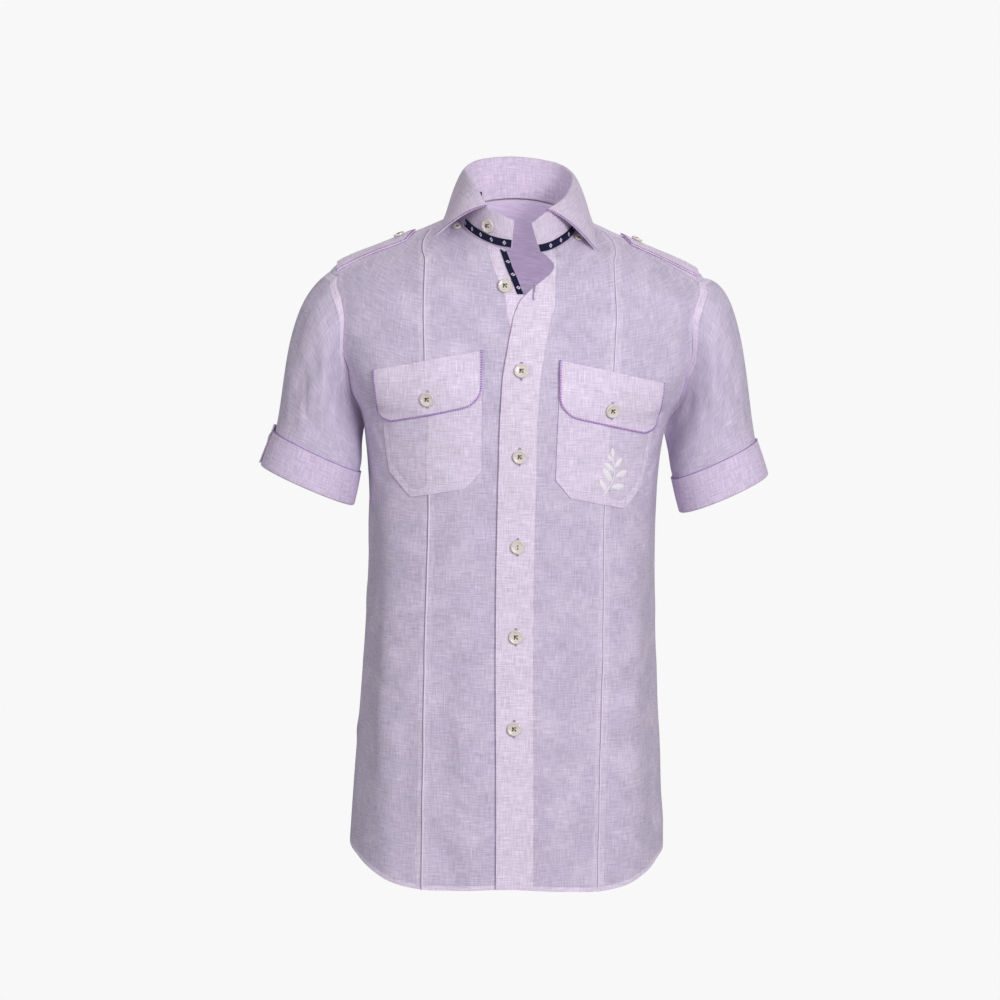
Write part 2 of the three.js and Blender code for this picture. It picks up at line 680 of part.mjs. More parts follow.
/** The panel from the front edge to the seam beside the placket. */
function frontCentre(front) {
  const { side } = front;
  const edgeX = (level) => fromTable(front.edge, 'level', 'x', level);
  const seam = onSide(DART_SEAM, side);
  const rowsBelow = ROWS_TO_UNDERARM + ROWS_UNDER_CHEST;
  const columns = FRONT_NECK_CELLS + YOKE_NECK_CELLS;
  const placketColumns = PLACKET_COLUMNS.length - 1;
  const placketWidth = PLACKET_COLUMNS[placketColumns];
  const lower = [];
  for (let row = 0; row <= rowsBelow; row += 1) {
    const end = seam[row];
    const startX = edgeX(end.level);
    const endX = bodyPoint(end.angle, end.level).x;
    const line = [];
    for (let column = 0; column <= columns; column += 1) {
      const past = column - placketColumns;
      const plain = (Math.abs(endX - startX) - placketWidth) / (columns - placketColumns);
      const width = past <= 0 ? PLACKET_COLUMNS[column] : placketWidth + plain * past;
      const x = startX + side * width;
      let level = end.level;
      let angle = angleAtX(x, level);
      if (row < ROWS_TO_UNDERARM) {
        const share = rowShare(row);
        level = hemLevel(angle) * (1 - share) + UNDERARM_LEVEL * share;
        angle = angleAtX(x, level);
      }
      line.push({ angle, level });
    }
    line[columns] = end;
    lower.push(line);
  }
  const lastLower = lower.pop();
  const left = [lastLower[0]];
  for (const level of OPEN_EDGE_LEVELS) {
    left.push({ angle: angleAtX(edgeX(level), level), level });
  }
  const right = seam.slice(rowsBelow);
  const neckStart = { angle: angleAtX(edgeX(NECK_LEVEL), NECK_LEVEL), level: NECK_LEVEL };
  neckStart.level = neckSeamLevel(neckStart.angle);
  left.push(neckStart);
  const neckEnd = { angle: side * YOKE_FRONT_ANGLE, level: NECK_LEVEL };
  const top = evenSteps(neckStart, neckEnd, FRONT_NECK_CELLS)
    .map((step) => ({ angle: step.angle, level: neckSeamLevel(step.angle) }))
    .concat(evenSteps(neckEnd, right[right.length - 1], YOKE_NECK_CELLS).slice(1));
  return lower.concat(patch(lastLower, top, left, right));
}

/** The panel from the seam beside the placket to the side seam and the armhole. */
function frontSide(front) {
  const { side } = front;
  const left = onSide(DART_SEAM, side);
  const right = onSide(sideSeam().concat(ARMHOLE_FRONT_STEPS.slice(1)), side);
  const bottom = evenSteps(left[0], right[0], SIDE_CELLS)
    .map((step) => ({ angle: step.angle, level: hemLevel(step.angle) }));
  const middle = evenSteps(left[ROWS_TO_UNDERARM], right[ROWS_TO_UNDERARM], SIDE_CELLS);
  const top = evenSteps(left[left.length - 1], right[right.length - 1], SIDE_CELLS);
  const under = patch(
    bottom, middle, left.slice(0, ROWS_TO_UNDERARM + 1), right.slice(0, ROWS_TO_UNDERARM + 1));
  under.pop();
  return under.concat(
    patch(middle, top, left.slice(ROWS_TO_UNDERARM), right.slice(ROWS_TO_UNDERARM)));
}

/** The back panel under the yoke, from the wearer's left armhole round to the right one. */
function backPanel() {
  const left = sideSeam().concat(ARMHOLE_BACK_STEPS.slice(1));
  const right = left.map((place) => ({ angle: 360 - place.angle, level: place.level }));
  const bottom = evenSteps(left[0], right[0], BACK_CELLS)
    .map((step) => ({ angle: step.angle, level: hemLevel(step.angle) }));
  return patch(bottom, yokeBackSeam(), left, right);
}

/** The seam across the back under the yoke. */
function yokeBackSeam() {
  const other = { angle: 360 - YOKE_BACK_END.angle, level: YOKE_BACK_END.level };
  return evenSteps(YOKE_BACK_END, other, BACK_CELLS).map((step) => {
    const share = (step.angle - YOKE_BACK_END.angle) / (other.angle - YOKE_BACK_END.angle);
    const rise = Math.sin(Math.PI * share);
    return { angle: step.angle, level: step.level + (YOKE_BACK_LEVEL - step.level) * rise };
  });
}

/** The yoke's lower edge: over an armhole's top, across the back and over the other armhole. */
function yokeLowerEdge() {
  const otherEnd = YOKE_END_STEPS.slice().reverse()
    .map((place) => ({ angle: 360 - place.angle, level: place.level }));
  return YOKE_END_STEPS.concat(yokeBackSeam().slice(1), otherEnd.slice(1));
}

/** The yoke, from the back seam over the shoulders to the fronts and the neck. */
function yokePanel() {
  const bottom = yokeLowerEdge();
  const top = bottom.map((place) => ({ angle: place.angle, level: NECK_LEVEL }));
  const left = evenSteps(TIP, DART_TOP, SIDE_CELLS)
    .concat(evenSteps(DART_TOP, top[0], YOKE_NECK_CELLS).slice(1));
  const right = left.map((place) => ({ angle: 360 - place.angle, level: place.level }));
  return patch(bottom, top, left, right);
}

/** The closed line of places round an armhole: up the front, over the yoke, down the back. */
const ARMHOLE_LOOP = ARMHOLE_FRONT_STEPS
  .concat(YOKE_END_STEPS.slice(1))
  .concat(ARMHOLE_BACK_STEPS.slice(1, -1).reverse());

/** The way out of the armhole at each of its places, in a plane of constant x. */
const ARMHOLE_OUT = ARMHOLE_LOOP.map((place, index) => {
  const count = ARMHOLE_LOOP.length;
  const next = ARMHOLE_LOOP[(index + 1) % count];
  const before = ARMHOLE_LOOP[(index + count - 1) % count];
  const run = bodyPoint(next.angle, next.level).sub(bodyPoint(before.angle, before.level));
  return new THREE.Vector3(0, run.z, -run.y).normalize().multiplyScalar(-1);
});

/** Makes an edge spot of an armhole square to its seam, on the body's or the sleeve's side. */
function squareToArmhole(spot, loopIndex, side, isSleeve) {
  spot.out = ARMHOLE_OUT[loopIndex % ARMHOLE_LOOP.length];
  spot.point.x += side * (isSleeve ? SEAM_HALF_GAP : -SEAM_HALF_GAP);
}

/** Squares a run of a panel's edge spots, which follow the armhole from a place of its loop. */
function squareArmholeEdge(edge, firstIndex, direction, side) {
  edge.forEach((spot, step) => squareToArmhole(spot, firstIndex + direction * step, side, false));
}

/** The upper part of a grid's edge column, along the armhole. */
function armholeColumn(spots, column) {
  return spots.slice(ROWS_TO_UNDERARM).map((line) => line[column]);
}

/** Turn round the sleeve for each place of the armhole: 0 on top, 90 in front, 180 below. */
function armholeTurns(points) {
  const lengths = [0];
  for (let index = 1; index <= points.length; index += 1) {
    const step = points[index % points.length].distanceTo(points[index - 1]);
    lengths.push(lengths[index - 1] + step);
  }
  const whole = lengths[points.length];
  return points.map((_, index) => 180 - 360 * (lengths[index] / whole));
}

/** A point of the sleeve's ring given by its outer and inner ends, at a turn. */
function ringPoint(ring, halfDepth, turn, side) {
  const cosine = Math.cos(turn * RADIANS);
  const sine = Math.sin(turn * RADIANS);
  const x = (ring.outerX + ring.innerX) / 2 + ((ring.outerX - ring.innerX) / 2) * cosine;
  const z = (ring.outerZ + ring.innerZ) / 2 + ((ring.outerZ - ring.innerZ) / 2) * cosine;
  return new THREE.Vector3(side * x, SLEEVE_FORWARD - halfDepth * sine, z);
}

/** A sleeve's middle points: rows go from the armhole to the turned-up end. */
function sleeveGrid(sleeve) {
  const side = sleeve.mirror;
  const seam = ARMHOLE_LOOP.map((place) => bodyPoint(side * place.angle, place.level));
  const turns = armholeTurns(seam);
  const topWay = new THREE.Vector3(side * sleeve.headWay.x, 0, sleeve.headWay.z);
  const lowWay = new THREE.Vector3(side * SLEEVE_LOW_WAY.x, 0, SLEEVE_LOW_WAY.z);
  const grid = [];
  for (let row = 0; row <= SLEEVE_ROWS; row += 1) {
    const t = row / SLEEVE_ROWS;
    grid.push(seam.map((start, column) => {
      const turn = turns[column];
      const end = ringPoint(sleeve.cuffTop, sleeve.halfDepth, turn, side);
      const run = end.distanceTo(start);
      const high = (1 + Math.cos(turn * RADIANS)) / 2;
      const startWay = lowWay.clone().lerp(topWay, high);
      startWay.y -= SLEEVE_SPREAD * Math.sin(turn * RADIANS);
      startWay.normalize().multiplyScalar(run * (1 + (sleeve.headPush - 1) * high));
      const endWay = lowWay.clone().multiplyScalar(run);
      const square = t * t;
      const cube = square * t;
      return start.clone().multiplyScalar(2 * cube - 3 * square + 1)
        .addScaledVector(startWay, cube - 2 * square + t)
        .addScaledVector(end, 3 * square - 2 * cube)
        .addScaledVector(endWay, cube - square);
    }));
  }
  for (let row = 1; row <= CUFF_ROWS; row += 1) {
    const t = row / CUFF_ROWS;
    grid.push(turns.map((turn) => {
      const top = ringPoint(sleeve.cuffTop, sleeve.halfDepth, turn, side);
      return top.lerp(ringPoint(sleeve.cuffEnd, sleeve.halfDepth, turn, side), t);
    }));
  }
  return { grid, turns };
}

/** The way out of a grid of points, on the side away from a given point for each of them. */
function gridNormals(grid, isTube, awayFrom) {
  const lastRow = grid.length - 1;
  const count = grid[0].length;
  return grid.map((line, row) => line.map((point, column) => {
    const next = isTube ? line[(column + 1) % count] : line[Math.min(column + 1, count - 1)];
    const before = isTube ? line[(column + count - 1) % count] : line[Math.max(column - 1, 0)];
    const below = grid[Math.min(row + 1, lastRow)][column];
    const above = grid[Math.max(row - 1, 0)][column];
    const out = next.clone().sub(before).cross(below.clone().sub(above)).normalize();
    if (out.dot(point.clone().sub(awayFrom(row))) < 0) out.negate();
    return out;
  }));
}

/** The middle of a ring of points. */
function middleOf(ring) {
  const sum = new THREE.Vector3();
  ring.forEach((point) => sum.add(point));
  return sum.divideScalar(ring.length);
}

/** Spots of one thickness from points and the ways out of them, lifted off their surface. */
function liftedSpots(points, normals, lift, half) {
  return points.map((line, row) => line.map((point, column) => ({
    point: point.clone().addScaledVector(normals[row][column], lift),
    out: normals[row][column],
    half,
  })));
}

/** Moves a sleeve's inside points by its soft folds. */
function foldSleeve(grid, turns, normals) {
  const folded = grid.map((line) => line.map((point) => point.clone()));
  for (let row = 1; row <= SLEEVE_ROWS; row += 1) {
    const along = row / SLEEVE_ROWS;
    const fade = smooth(along, 0, SLEEVE_FOLD_FADE.whole)
      * (1 - smooth(along, SLEEVE_FOLD_FADE.from, 1));
    turns.forEach((turn, column) => {
      const height = foldHeight(SLEEVE_FOLDS, turn, along, 'Turn', 'Along', SLEEVE_FOLD_SCALE);
      folded[row][column].addScaledVector(normals[row][column], height * fade);
    });
  }
  return folded;
}

const SKIN = { color: LILAC_SINGLE, roughness: CLOTH_ROUGHNESS, metalness: 0 };
const DOUBLED = { color: LILAC_DOUBLE, roughness: CLOTH_ROUGHNESS, metalness: 0 };
const COLLARED = { color: LILAC_COLLAR, roughness: CLOTH_ROUGHNESS, metalness: 0 };
const TAPED = { color: NAVY, roughness: CLOTH_ROUGHNESS, metalness: 0 };
const SHELL_BUTTON = { color: PEARL, roughness: PEARL_ROUGHNESS, metalness: 0 };

const shirt = new THREE.Group();

/** Adds one named piece of the shirt. */
function addPiece(name, geometry, finish) {
  const mesh = new THREE.Mesh(geometry, new THREE.MeshStandardMaterial(finish));
  mesh.name = name;
  shirt.add(mesh);
  return mesh;
}

/** Adds one button, its back towards the cloth, lifted off a point along the way out. */
function addButton(name, size, point, out, lift) {
  const profile = BUTTON_PROFILE.map(({ radius, height }) => (
    new THREE.Vector2(radius * size.radius, height * size.height)));
  const mesh = addPiece(name, new THREE.LatheGeometry(profile, BUTTON_SIDES), SHELL_BUTTON);
  mesh.quaternion.setFromUnitVectors(new THREE.Vector3(0, 1, 0), out);
  mesh.position.copy(point).addScaledVector(out, lift + BUTTON_GAP);
}

/** Adds one button on a place of the body's cloth, square to the cloth where it is lifted to. */
function addBodyButton(name, size, place, lift) {
  const at = (angleStep, levelStep) => {
    const angle = place.angle + angleStep;
    const level = place.level + levelStep;
    const point = bodyPoint(angle, level);
    return point.addScaledVector(bodyNormal(angle, level), lift({ angle, level }, point));
  };
  const { angle, level } = BUTTON_SEAT_STEP;
  const round = at(angle, 0).sub(at(-angle, 0));
  const rise = at(0, level).sub(at(0, -level));
  const out = round.cross(rise).normalize();
  addButton(name, size, at(0, 0), out, 0);
}

/** The lower edge of a pocket or flap from its inner side to its outer one. */
function lowerEdge(shape) {
  const slope = (shape.lowOuterZ - shape.lowInnerZ) / (shape.outerX - shape.innerX);
  const lineZ = (x) => shape.lowInnerZ + slope * (x - shape.innerX);
  const corner = (sideX, cut, towards, share) => {
    const x = sideX + towards * cut.x * (1 - Math.cos((share * Math.PI) / 2));
    return { x, z: lineZ(x) + cut.z * (1 - Math.sin((share * Math.PI) / 2)) };
  };
  const points = [];
  for (let step = 0; step <= shape.cornerSteps; step += 1) {
    points.push(corner(shape.innerX, shape.innerCut, 1, step / shape.cornerSteps));
  }
  const fromX = shape.innerX + shape.innerCut.x;
  const toX = shape.outerX - shape.outerCut.x;
  for (let step = 1; step < shape.straightSteps; step += 1) {
    const x = fromX + ((toX - fromX) * step) / shape.straightSteps;
    points.push({ x, z: lineZ(x) });
  }
  for (let step = shape.cornerSteps; step >= 0; step -= 1) {
    points.push(corner(shape.outerX, shape.outerCut, -1, step / shape.cornerSteps));
  }
  return points;
}

/** Places on one front for the grid of a pocket or a flap. */
function patchPiece(shape, side, drop) {
  const bottom = lowerEdge(shape);
  const top = evenSteps(shape.innerTop, shape.outerTop, bottom.length - 1);
  const inner = evenSteps(bottom[0], shape.innerTop, shape.rows);
  const outer = evenSteps(bottom[bottom.length - 1], shape.outerTop, shape.rows);
  return patch(bottom, top, inner, outer).map((line) => line.map(
    ({ x, z }) => placeOnFront(side * x, z + drop)));
}

/** Adds the patch pocket, its flap and the flap's button on one front. */
function addPocketAndFlap(name, front) {
  const drop = POCKET_DROP[name];
  const pocketLift = CLOTH / 2 + LAYER_GAP + POCKET.half;
  const flapLift = pocketLift + POCKET.half + LAYER_GAP + FLAP.half;
  for (const [piece, shape, lift] of [['pocket', POCKET, pocketLift], ['flap', FLAP, flapLift]]) {
    const places = patchPiece(shape, front.side, drop);
    const spots = bodySpots(
      places, (place, point) => lift + frontLift(front, place, point), () => shape.half);
    addPiece(`${piece}_${name}`, clothWall(spots), DOUBLED);
  }
  const buttonPlace = placeOnFront(front.side * FLAP_BUTTON.x, FLAP_BUTTON.z + drop);
  addBodyButton(`flap_button_${name}`, LARGE_BUTTON, buttonPlace, () => flapLift + FLAP.half);
}

/** Adds the strap on one shoulder with its button. */
function addShoulderStrap(name, side) {
  const places = [];
  for (let row = 0; row <= STRAP.rows; row += 1) {
    const t = row / STRAP.rows;
    const line = [];
    for (let column = 0; column <= STRAP.columns; column += 1) {
      const across = (2 * column) / STRAP.columns - 1;
      const endX = STRAP.toX + STRAP.point * Math.abs(across);
      const x = STRAP.fromX + (endX - STRAP.fromX) * t;
      line.push(placeOnShoulder(side * x, across * STRAP.halfWidth));
    }
    places.push(line);
  }
  const lift = DOUBLE_CLOTH / 2 + LAYER_GAP + STRAP.half;
  addPiece(
    `shoulder_strap_${name}`, clothWall(bodySpots(places, () => lift, () => STRAP.half)), DOUBLED);
  const buttonPlace = placeOnShoulder(side * STRAP_BUTTON_X, 0);
  addBodyButton(`strap_button_${name}`, MEDIUM_BUTTON, buttonPlace, () => lift + STRAP.half);
}

/** Adds the small button under one tip of the collar. */
function addCollarButton(name) {
  addBodyButton(`collar_button_${name}`, SMALL_BUTTON, COLLAR_BUTTONS[name], () => CLOTH / 2);
}

/** The top edge of the stand: the collar's fold drawn in, and on to the two front ends. */
function standTopTable() {
  const underFold = COLLAR.map((row) => {
    const fromMiddle = new THREE.Vector2(row.foldX, row.foldY - NECK_MIDDLE_Y);
    fromMiddle.setLength(fromMiddle.length() - STAND_INSIDE_FOLD);
    return {
      turn: row.turn,
      x: fromMiddle.x,
      y: fromMiddle.y + NECK_MIDDLE_Y,
      z: row.foldZ - STAND_UNDER_FOLD,
    };
  });
  return STAND_ENDS.right.concat(underFold, STAND_ENDS.left);
}

const STAND_TOP = standTopTable();

/** A point of the stand at a turn from the right front round the back, and a share of height. */
function standPoint(turn, share) {
  const seam = bodyPoint(-turn, neckSeamLevel(-turn));
  seam.z += STAND_ABOVE_SEAM;
  const top = new THREE.Vector3(
    fromTable(STAND_TOP, 'turn', 'x', turn),
    fromTable(STAND_TOP, 'turn', 'y', turn),
    fromTable(STAND_TOP, 'turn', 'z', turn),
  );
  return seam.lerp(top, share);
}

/** A point of the collar's fall at a turn and a share of the way from its fold to its edge. */
function fallPoint(turn, share) {
  const at = (column) => fromTable(COLLAR, 'turn', column, turn);
  const fold = new THREE.Vector3(at('foldX'), at('foldY'), at('foldZ'));
  const edge = new THREE.Vector3(at('edgeX'), at('edgeY'), at('edgeZ'));
  const rolled = new THREE.Vector3(edge.x, edge.y - NECK_MIDDLE_Y, 0).setLength(FALL_SWELL.outward);
  rolled.z = FALL_SWELL.upward;
  const swell = Math.sin(Math.PI * share ** FALL_SWELL.skew);
  return fold.lerp(edge, share).addScaledVector(rolled, at('roll') * swell);
}

/** A grid of points over a range of turns and shares. */
function collarGrid(pointAt, turns, shares, columns, rows) {
  const grid = [];
  for (let row = 0; row <= rows; row += 1) {
    const share = shares[0] + ((shares[1] - shares[0]) * row) / rows;
    const line = [];
    for (let column = 0; column <= columns; column += 1) {
      line.push(pointAt(turns[0] + ((turns[1] - turns[0]) * column) / columns, share));
    }
    grid.push(line);
  }
  return grid;
}

/** Spots of a collar piece, lifted off its surface and facing away from the neck. */
function collarSpots(grid, lift, half) {
  const neckMiddle = new THREE.Vector3(0, NECK_MIDDLE_Y, 0);
  return liftedSpots(grid, gridNormals(grid, false, () => neckMiddle), lift, half);
}

/** Adds the stand, the fall, the tapes, the size tab and the stand's button. */
function addCollar() {
  const standEnds = [STAND_TOP[0].turn, STAND_TOP[STAND_TOP.length - 1].turn];
  const stand = collarGrid(standPoint, standEnds, [0, 1], STAND_COLUMNS, STAND_ROWS);
  addPiece('collar_stand', clothWall(collarSpots(stand, 0, STAND_CLOTH / 2)), COLLARED);
  const fallEnds = [COLLAR[0].turn, COLLAR[COLLAR.length - 1].turn];
  const fall = collarGrid(fallPoint, fallEnds, [0, 1], FALL_COLUMNS, FALL_ROWS);
  addPiece('collar_fall', clothWall(collarSpots(fall, 0, COLLAR_CLOTH / 2)), COLLARED);
  const outside = STAND_CLOTH / 2 + TAPE_GAP + TAPE_CLOTH / 2;
  const tapePoint = (turn, share) => {
    const height = standPoint(turn, 0).distanceTo(standPoint(turn, 1));
    return standPoint(turn, (TAPE_ABOVE_SEAM + share * TAPE_WIDTH) / height);
  };
  for (const [name, tape] of Object.entries(STAND_TAPES)) {
    const grid = collarGrid(tapePoint, [tape.fromTurn, tape.toTurn], [0, 1], TAPE_COLUMNS, 1);
    addPiece(
      `stand_tape_${name}`, clothWall(collarSpots(grid, outside, TAPE_CLOTH / 2)), TAPED);
  }
  const tab = collarGrid(
    standPoint, [SIZE_TAB.fromTurn, SIZE_TAB.toTurn], [SIZE_TAB.low, SIZE_TAB.high], 2, 1);
  addPiece('size_tab', clothWall(collarSpots(tab, -outside, TAPE_CLOTH / 2)), TAPED);
  const near = collarGrid(
    standPoint, [STAND_BUTTON.turn - STAND_BUTTON.turnStep, STAND_BUTTON.turn + STAND_BUTTON.turnStep],
    [STAND_BUTTON.share, STAND_BUTTON.share + STAND_BUTTON.shareStep], 2, 1);
  const spot = collarSpots(near, 0, 1)[0][1];
  addButton('stand_button', LARGE_BUTTON, spot.point, spot.out, STAND_CLOTH / 2);
}

/** Adds the tape down the edge of the under front and the buttons down the front. */
function addFrontButtons() {
  const under = FRONTS.right;
  const outside = DOUBLE_CLOTH / 2 + TAPE_GAP + TAPE_CLOTH / 2;
  const places = [];
  for (let row = 0; row <= EDGE_TAPE.rows; row += 1) {
    const { fromLevel, toLevel, rows, width } = EDGE_TAPE;
    const level = fromLevel + ((toLevel - fromLevel) * row) / rows;
    const edge = fromTable(UNDER_EDGE, 'level', 'x', level) - TAPE_GAP;
    places.push([edge - width, edge - width / 2, edge].map(
      (x) => ({ angle: angleAtX(x, level), level })));
  }
  const tape = bodySpots(
    places, (place, point) => outside + frontLift(under, place, point), () => TAPE_CLOTH / 2);
  addPiece('front_edge_tape', clothWall(tape), TAPED);
  const onFront = (front) => (place, point) => DOUBLE_CLOTH / 2 + frontLift(front, place, point);
  const open = placeOnFront(OPEN_BUTTON.x, OPEN_BUTTON.z);
  addBodyButton('front_button_1', LARGE_BUTTON, open, onFront(under));
  CLOSED_BUTTON_HEIGHTS.forEach((z, index) => {
    const place = placeOnFront(BUTTON_LINE_X, z);
    addBodyButton(`front_button_${index + 2}`, LARGE_BUTTON, place, onFront(FRONTS.left));
  });
}

/** Adds the tab that stands up the outside of one turned-up sleeve end, with its button. */
function addSleeveTab(name, sleeve) {
  const side = sleeve.mirror;
  const pointAt = (turn, share) => {
    const end = ringPoint(sleeve.cuffEnd, sleeve.halfDepth, turn, side);
    return end.lerp(ringPoint(sleeve.cuffTop, sleeve.halfDepth, turn, side), share);
  };
  const turns = [sleeve.tabTurn - SLEEVE_TAB.halfTurn, sleeve.tabTurn + SLEEVE_TAB.halfTurn];
  const shares = [0, 1 + SLEEVE_TAB.overCuff];
  const grid = collarGrid(pointAt, turns, shares, SLEEVE_TAB.columns, SLEEVE_TAB.rows);
  const middle = ringPoint(sleeve.cuffEnd, 0, 90, side);
  const normals = gridNormals(grid, false, () => middle);
  const spots = liftedSpots(grid, normals, SLEEVE_TAB.lift, SLEEVE_TAB.half);
  addPiece(`sleeve_tab_${name}`, clothWall(spots), DOUBLED);
  const spot = spots[TAB_BUTTON_CELL.row][TAB_BUTTON_CELL.column];
  addButton(`tab_button_${name}`, MEDIUM_BUTTON, spot.point, spot.out, SLEEVE_TAB.half);
}

for (const [name, front] of Object.entries(FRONTS)) {
  const lift = (place, point) => frontLift(front, place, point);
  const half = (place, point) => {
    const doubled = placketShare(front.side * point.x);
    return (CLOTH + (DOUBLE_CLOTH - CLOTH) * smooth(doubled, DOUBLED_FROM, 1)) / 2;
  };
  const centre = bodySpots(frontCentre(front), lift, half);
  drawIn(centre, 'right');
  drawIn(centre, 'top');
  addPiece(`front_${name}_centre`, clothWall(centre), SKIN);
  const sidePanel = bodySpots(frontSide(front), lift, half);
  drawIn(sidePanel, 'left');
  drawIn(sidePanel, 'top');
  drawIn(sidePanel.slice(0, ROWS_TO_UNDERARM + 1), 'right');
  squareArmholeEdge(armholeColumn(sidePanel, SIDE_CELLS), 0, 1, front.side);
  addPiece(`front_${name}_side`, clothWall(sidePanel), SKIN);
}

const back = bodySpots(backPanel());
drawIn(back, 'top');
drawIn(back.slice(0, ROWS_TO_UNDERARM + 1), 'left');
drawIn(back.slice(0, ROWS_TO_UNDERARM + 1), 'right');
squareArmholeEdge(armholeColumn(back, 0), ARMHOLE_LOOP.length, -1, 1);
squareArmholeEdge(armholeColumn(back, BACK_CELLS), ARMHOLE_LOOP.length, -1, -1);
addPiece('back', clothWall(back), SKIN);

const yoke = bodySpots(yokePanel(), () => 0, () => DOUBLE_CLOTH / 2);
drawIn(yoke.map((line) => line.slice(YOKE_END_CELLS, -YOKE_END_CELLS)), 'bottom');
drawIn(yoke, 'top');
drawIn(yoke, 'left');
drawIn(yoke, 'right');
squareArmholeEdge(yoke[0].slice(0, YOKE_END_CELLS + 1), ARMHOLE_CELLS, 1, 1);
squareArmholeEdge(yoke[0].slice(-YOKE_END_CELLS - 1).reverse(), ARMHOLE_CELLS, 1, -1);
addPiece('yoke', clothWall(yoke), DOUBLED);

for (const [name, sleeve] of Object.entries(SLEEVES)) {
  const { grid, turns } = sleeveGrid(sleeve);
  const middles = grid.map(middleOf);
  const plain = gridNormals(grid, true, (row) => middles[row]);
  const folded = foldSleeve(grid, turns, plain);
  const normals = gridNormals(folded, true, (row) => middles[row]);
  const spots = liftedSpots(folded, normals, 0, CLOTH / 2);
  spots[0].forEach((spot, column) => squareToArmhole(spot, column, sleeve.mirror, true));
  const last = spots.length - 1;
  spots[last].forEach((spot, column) => {
    spot.point.lerp(spots[last - 1][column].point, SLEEVE_STOPS_SHORT);
  });
  addPiece(`sleeve_${name}`, clothWall(spots, true), SKIN);
  const cuff = liftedSpots(
    grid.slice(SLEEVE_ROWS), plain.slice(SLEEVE_ROWS), CUFF_LIFT, CUFF_CLOTH / 2);
  addPiece(`cuff_${name}`, clothWall(cuff, true), DOUBLED);
  addSleeveTab(name, sleeve);
}

for (const [name, front] of Object.entries(FRONTS)) {
  addPocketAndFlap(name, front);
  addShoulderStrap(name, front.side);
  addCollarButton(name);
}
addCollar();
addFrontButtons();

export default shirt;
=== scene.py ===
"""Short-sleeve linen utility shirt, filled out as when worn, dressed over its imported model.

Lengths inside the forms are millimetres and become metres when a mesh is made. +X is the
wearer's left, -Y the front and +Z up. An angle goes round the body in degrees, 0 at the centre
front and 90 at the wearer's left side. A level is a place in the list of body sections.
"""

import logging
import math
from dataclasses import dataclass, field
from enum import Enum
from typing import Callable

import bpy
import numpy as np
from mathutils import Matrix


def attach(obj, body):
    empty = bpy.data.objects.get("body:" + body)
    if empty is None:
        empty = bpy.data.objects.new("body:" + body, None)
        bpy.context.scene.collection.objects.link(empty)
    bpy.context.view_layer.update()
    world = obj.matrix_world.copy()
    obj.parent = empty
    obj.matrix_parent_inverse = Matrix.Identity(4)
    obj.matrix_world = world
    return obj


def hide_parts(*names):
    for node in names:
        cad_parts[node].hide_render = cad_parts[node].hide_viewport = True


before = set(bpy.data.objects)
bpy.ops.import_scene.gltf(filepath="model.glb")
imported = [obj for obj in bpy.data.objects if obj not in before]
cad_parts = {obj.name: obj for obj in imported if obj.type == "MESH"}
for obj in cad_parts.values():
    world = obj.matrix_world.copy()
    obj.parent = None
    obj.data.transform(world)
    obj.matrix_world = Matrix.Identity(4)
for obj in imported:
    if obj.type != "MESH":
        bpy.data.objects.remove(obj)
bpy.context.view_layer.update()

Array = np.ndarray
Colour = tuple[float, float, float, float]
Rows = tuple[tuple[float, float], ...]
LOG = logging.getLogger("shirt")
METRES = 0.001
UNDERARM_LEVEL = 4.0
CHEST_LEVEL = 7.0
TIP_LEVEL = 8.0
NECK_LEVEL = 10.0
SIDE_ANGLE = 90.0
YOKE_FRONT_ANGLE = 82.0
LINEN_HALF = 0.4
DOUBLE_HALF = 0.8
FAR_INSIDE = -50.0
FAR_OUTSIDE = 500.0
SHARP_ANGLE = 50.0
SEAM_STEPS = 400
HALVINGS = 24
SHORTEST_WAVE = 25.0
LONGEST_WAVE = 95.0
WAVES = 14


class Side(Enum):
    """The wearer's two sides, as the sign of X."""

    LEFT = 1
    RIGHT = -1

    @property
    def word(self) -> str:
        """The side's word in the names of pieces."""
        return self.name.lower()


class Slot(Enum):
    """The record's material slots."""

    LINEN = "linen"
    DOUBLE = "linen_double"
    TAPE = "tape"
    SHELL = "shell_button"


class Held(Enum):
    """How a sheet of cloth is held."""

    DRAPED = "draped"
    HUNG = "hung"
    LAID = "laid"
    FOLDED = "folded"


# The sizes of the form, the same ones that the solids are made from
BODY_SECTIONS = {
    "half_width": (185, 178, 168, 165, 172, 190, 206, 213, 209, 141, 69),
    "front": (123, 119, 113, 115, 121, 122, 120, 114, 105, 93, 83),
    "back": (118, 116, 107, 106, 111, 113, 113, 107, 95, 72, 49),
    "z_front": (-790, -650, -480, -340, -232, -206, -180, -145, -108, -62, -31),
    "z_side": (-790, -650, -480, -340, -232, -190, -140, -92, -54, -22.5, 6),
    "z_back": (-790, -650, -480, -340, -232, -200, -165, -120, -70, -14, 28),
    "square": (2.4, 2.4, 2.4, 2.4, 2.4, 2.4, 2.4, 2.3, 2.2, 2.1, 2.0),
}
SHOULDER_FALL = 1.3
ARMHOLE_FRONT = ((4, 90), (4.6, 85), (5.4, 79), (6.2, 76), (7, 74.5), (7.6, 76.5), (8, 82))
ARMHOLE_BACK = ((4, 90), (4.6, 94), (5.4, 99), (6.2, 102), (7, 104.5), (7.6, 106))
YOKE_BACK_ANGLE = 106.0
YOKE_BACK_END_LEVEL = 7.6
YOKE_BACK_LEVEL = 8.0
DART_SEAM_X = ((0, 99), (2, 100), (3, 98), (4, 100), (6, 104), (8, 107), (9, 106))
DART_SEAM_TOP_X = 99.0
DART_STEPS = (4, 4.35, 4.8, 5.4, 6.1, 6.8, 7.5, 8.1, 8.6, 9.1)
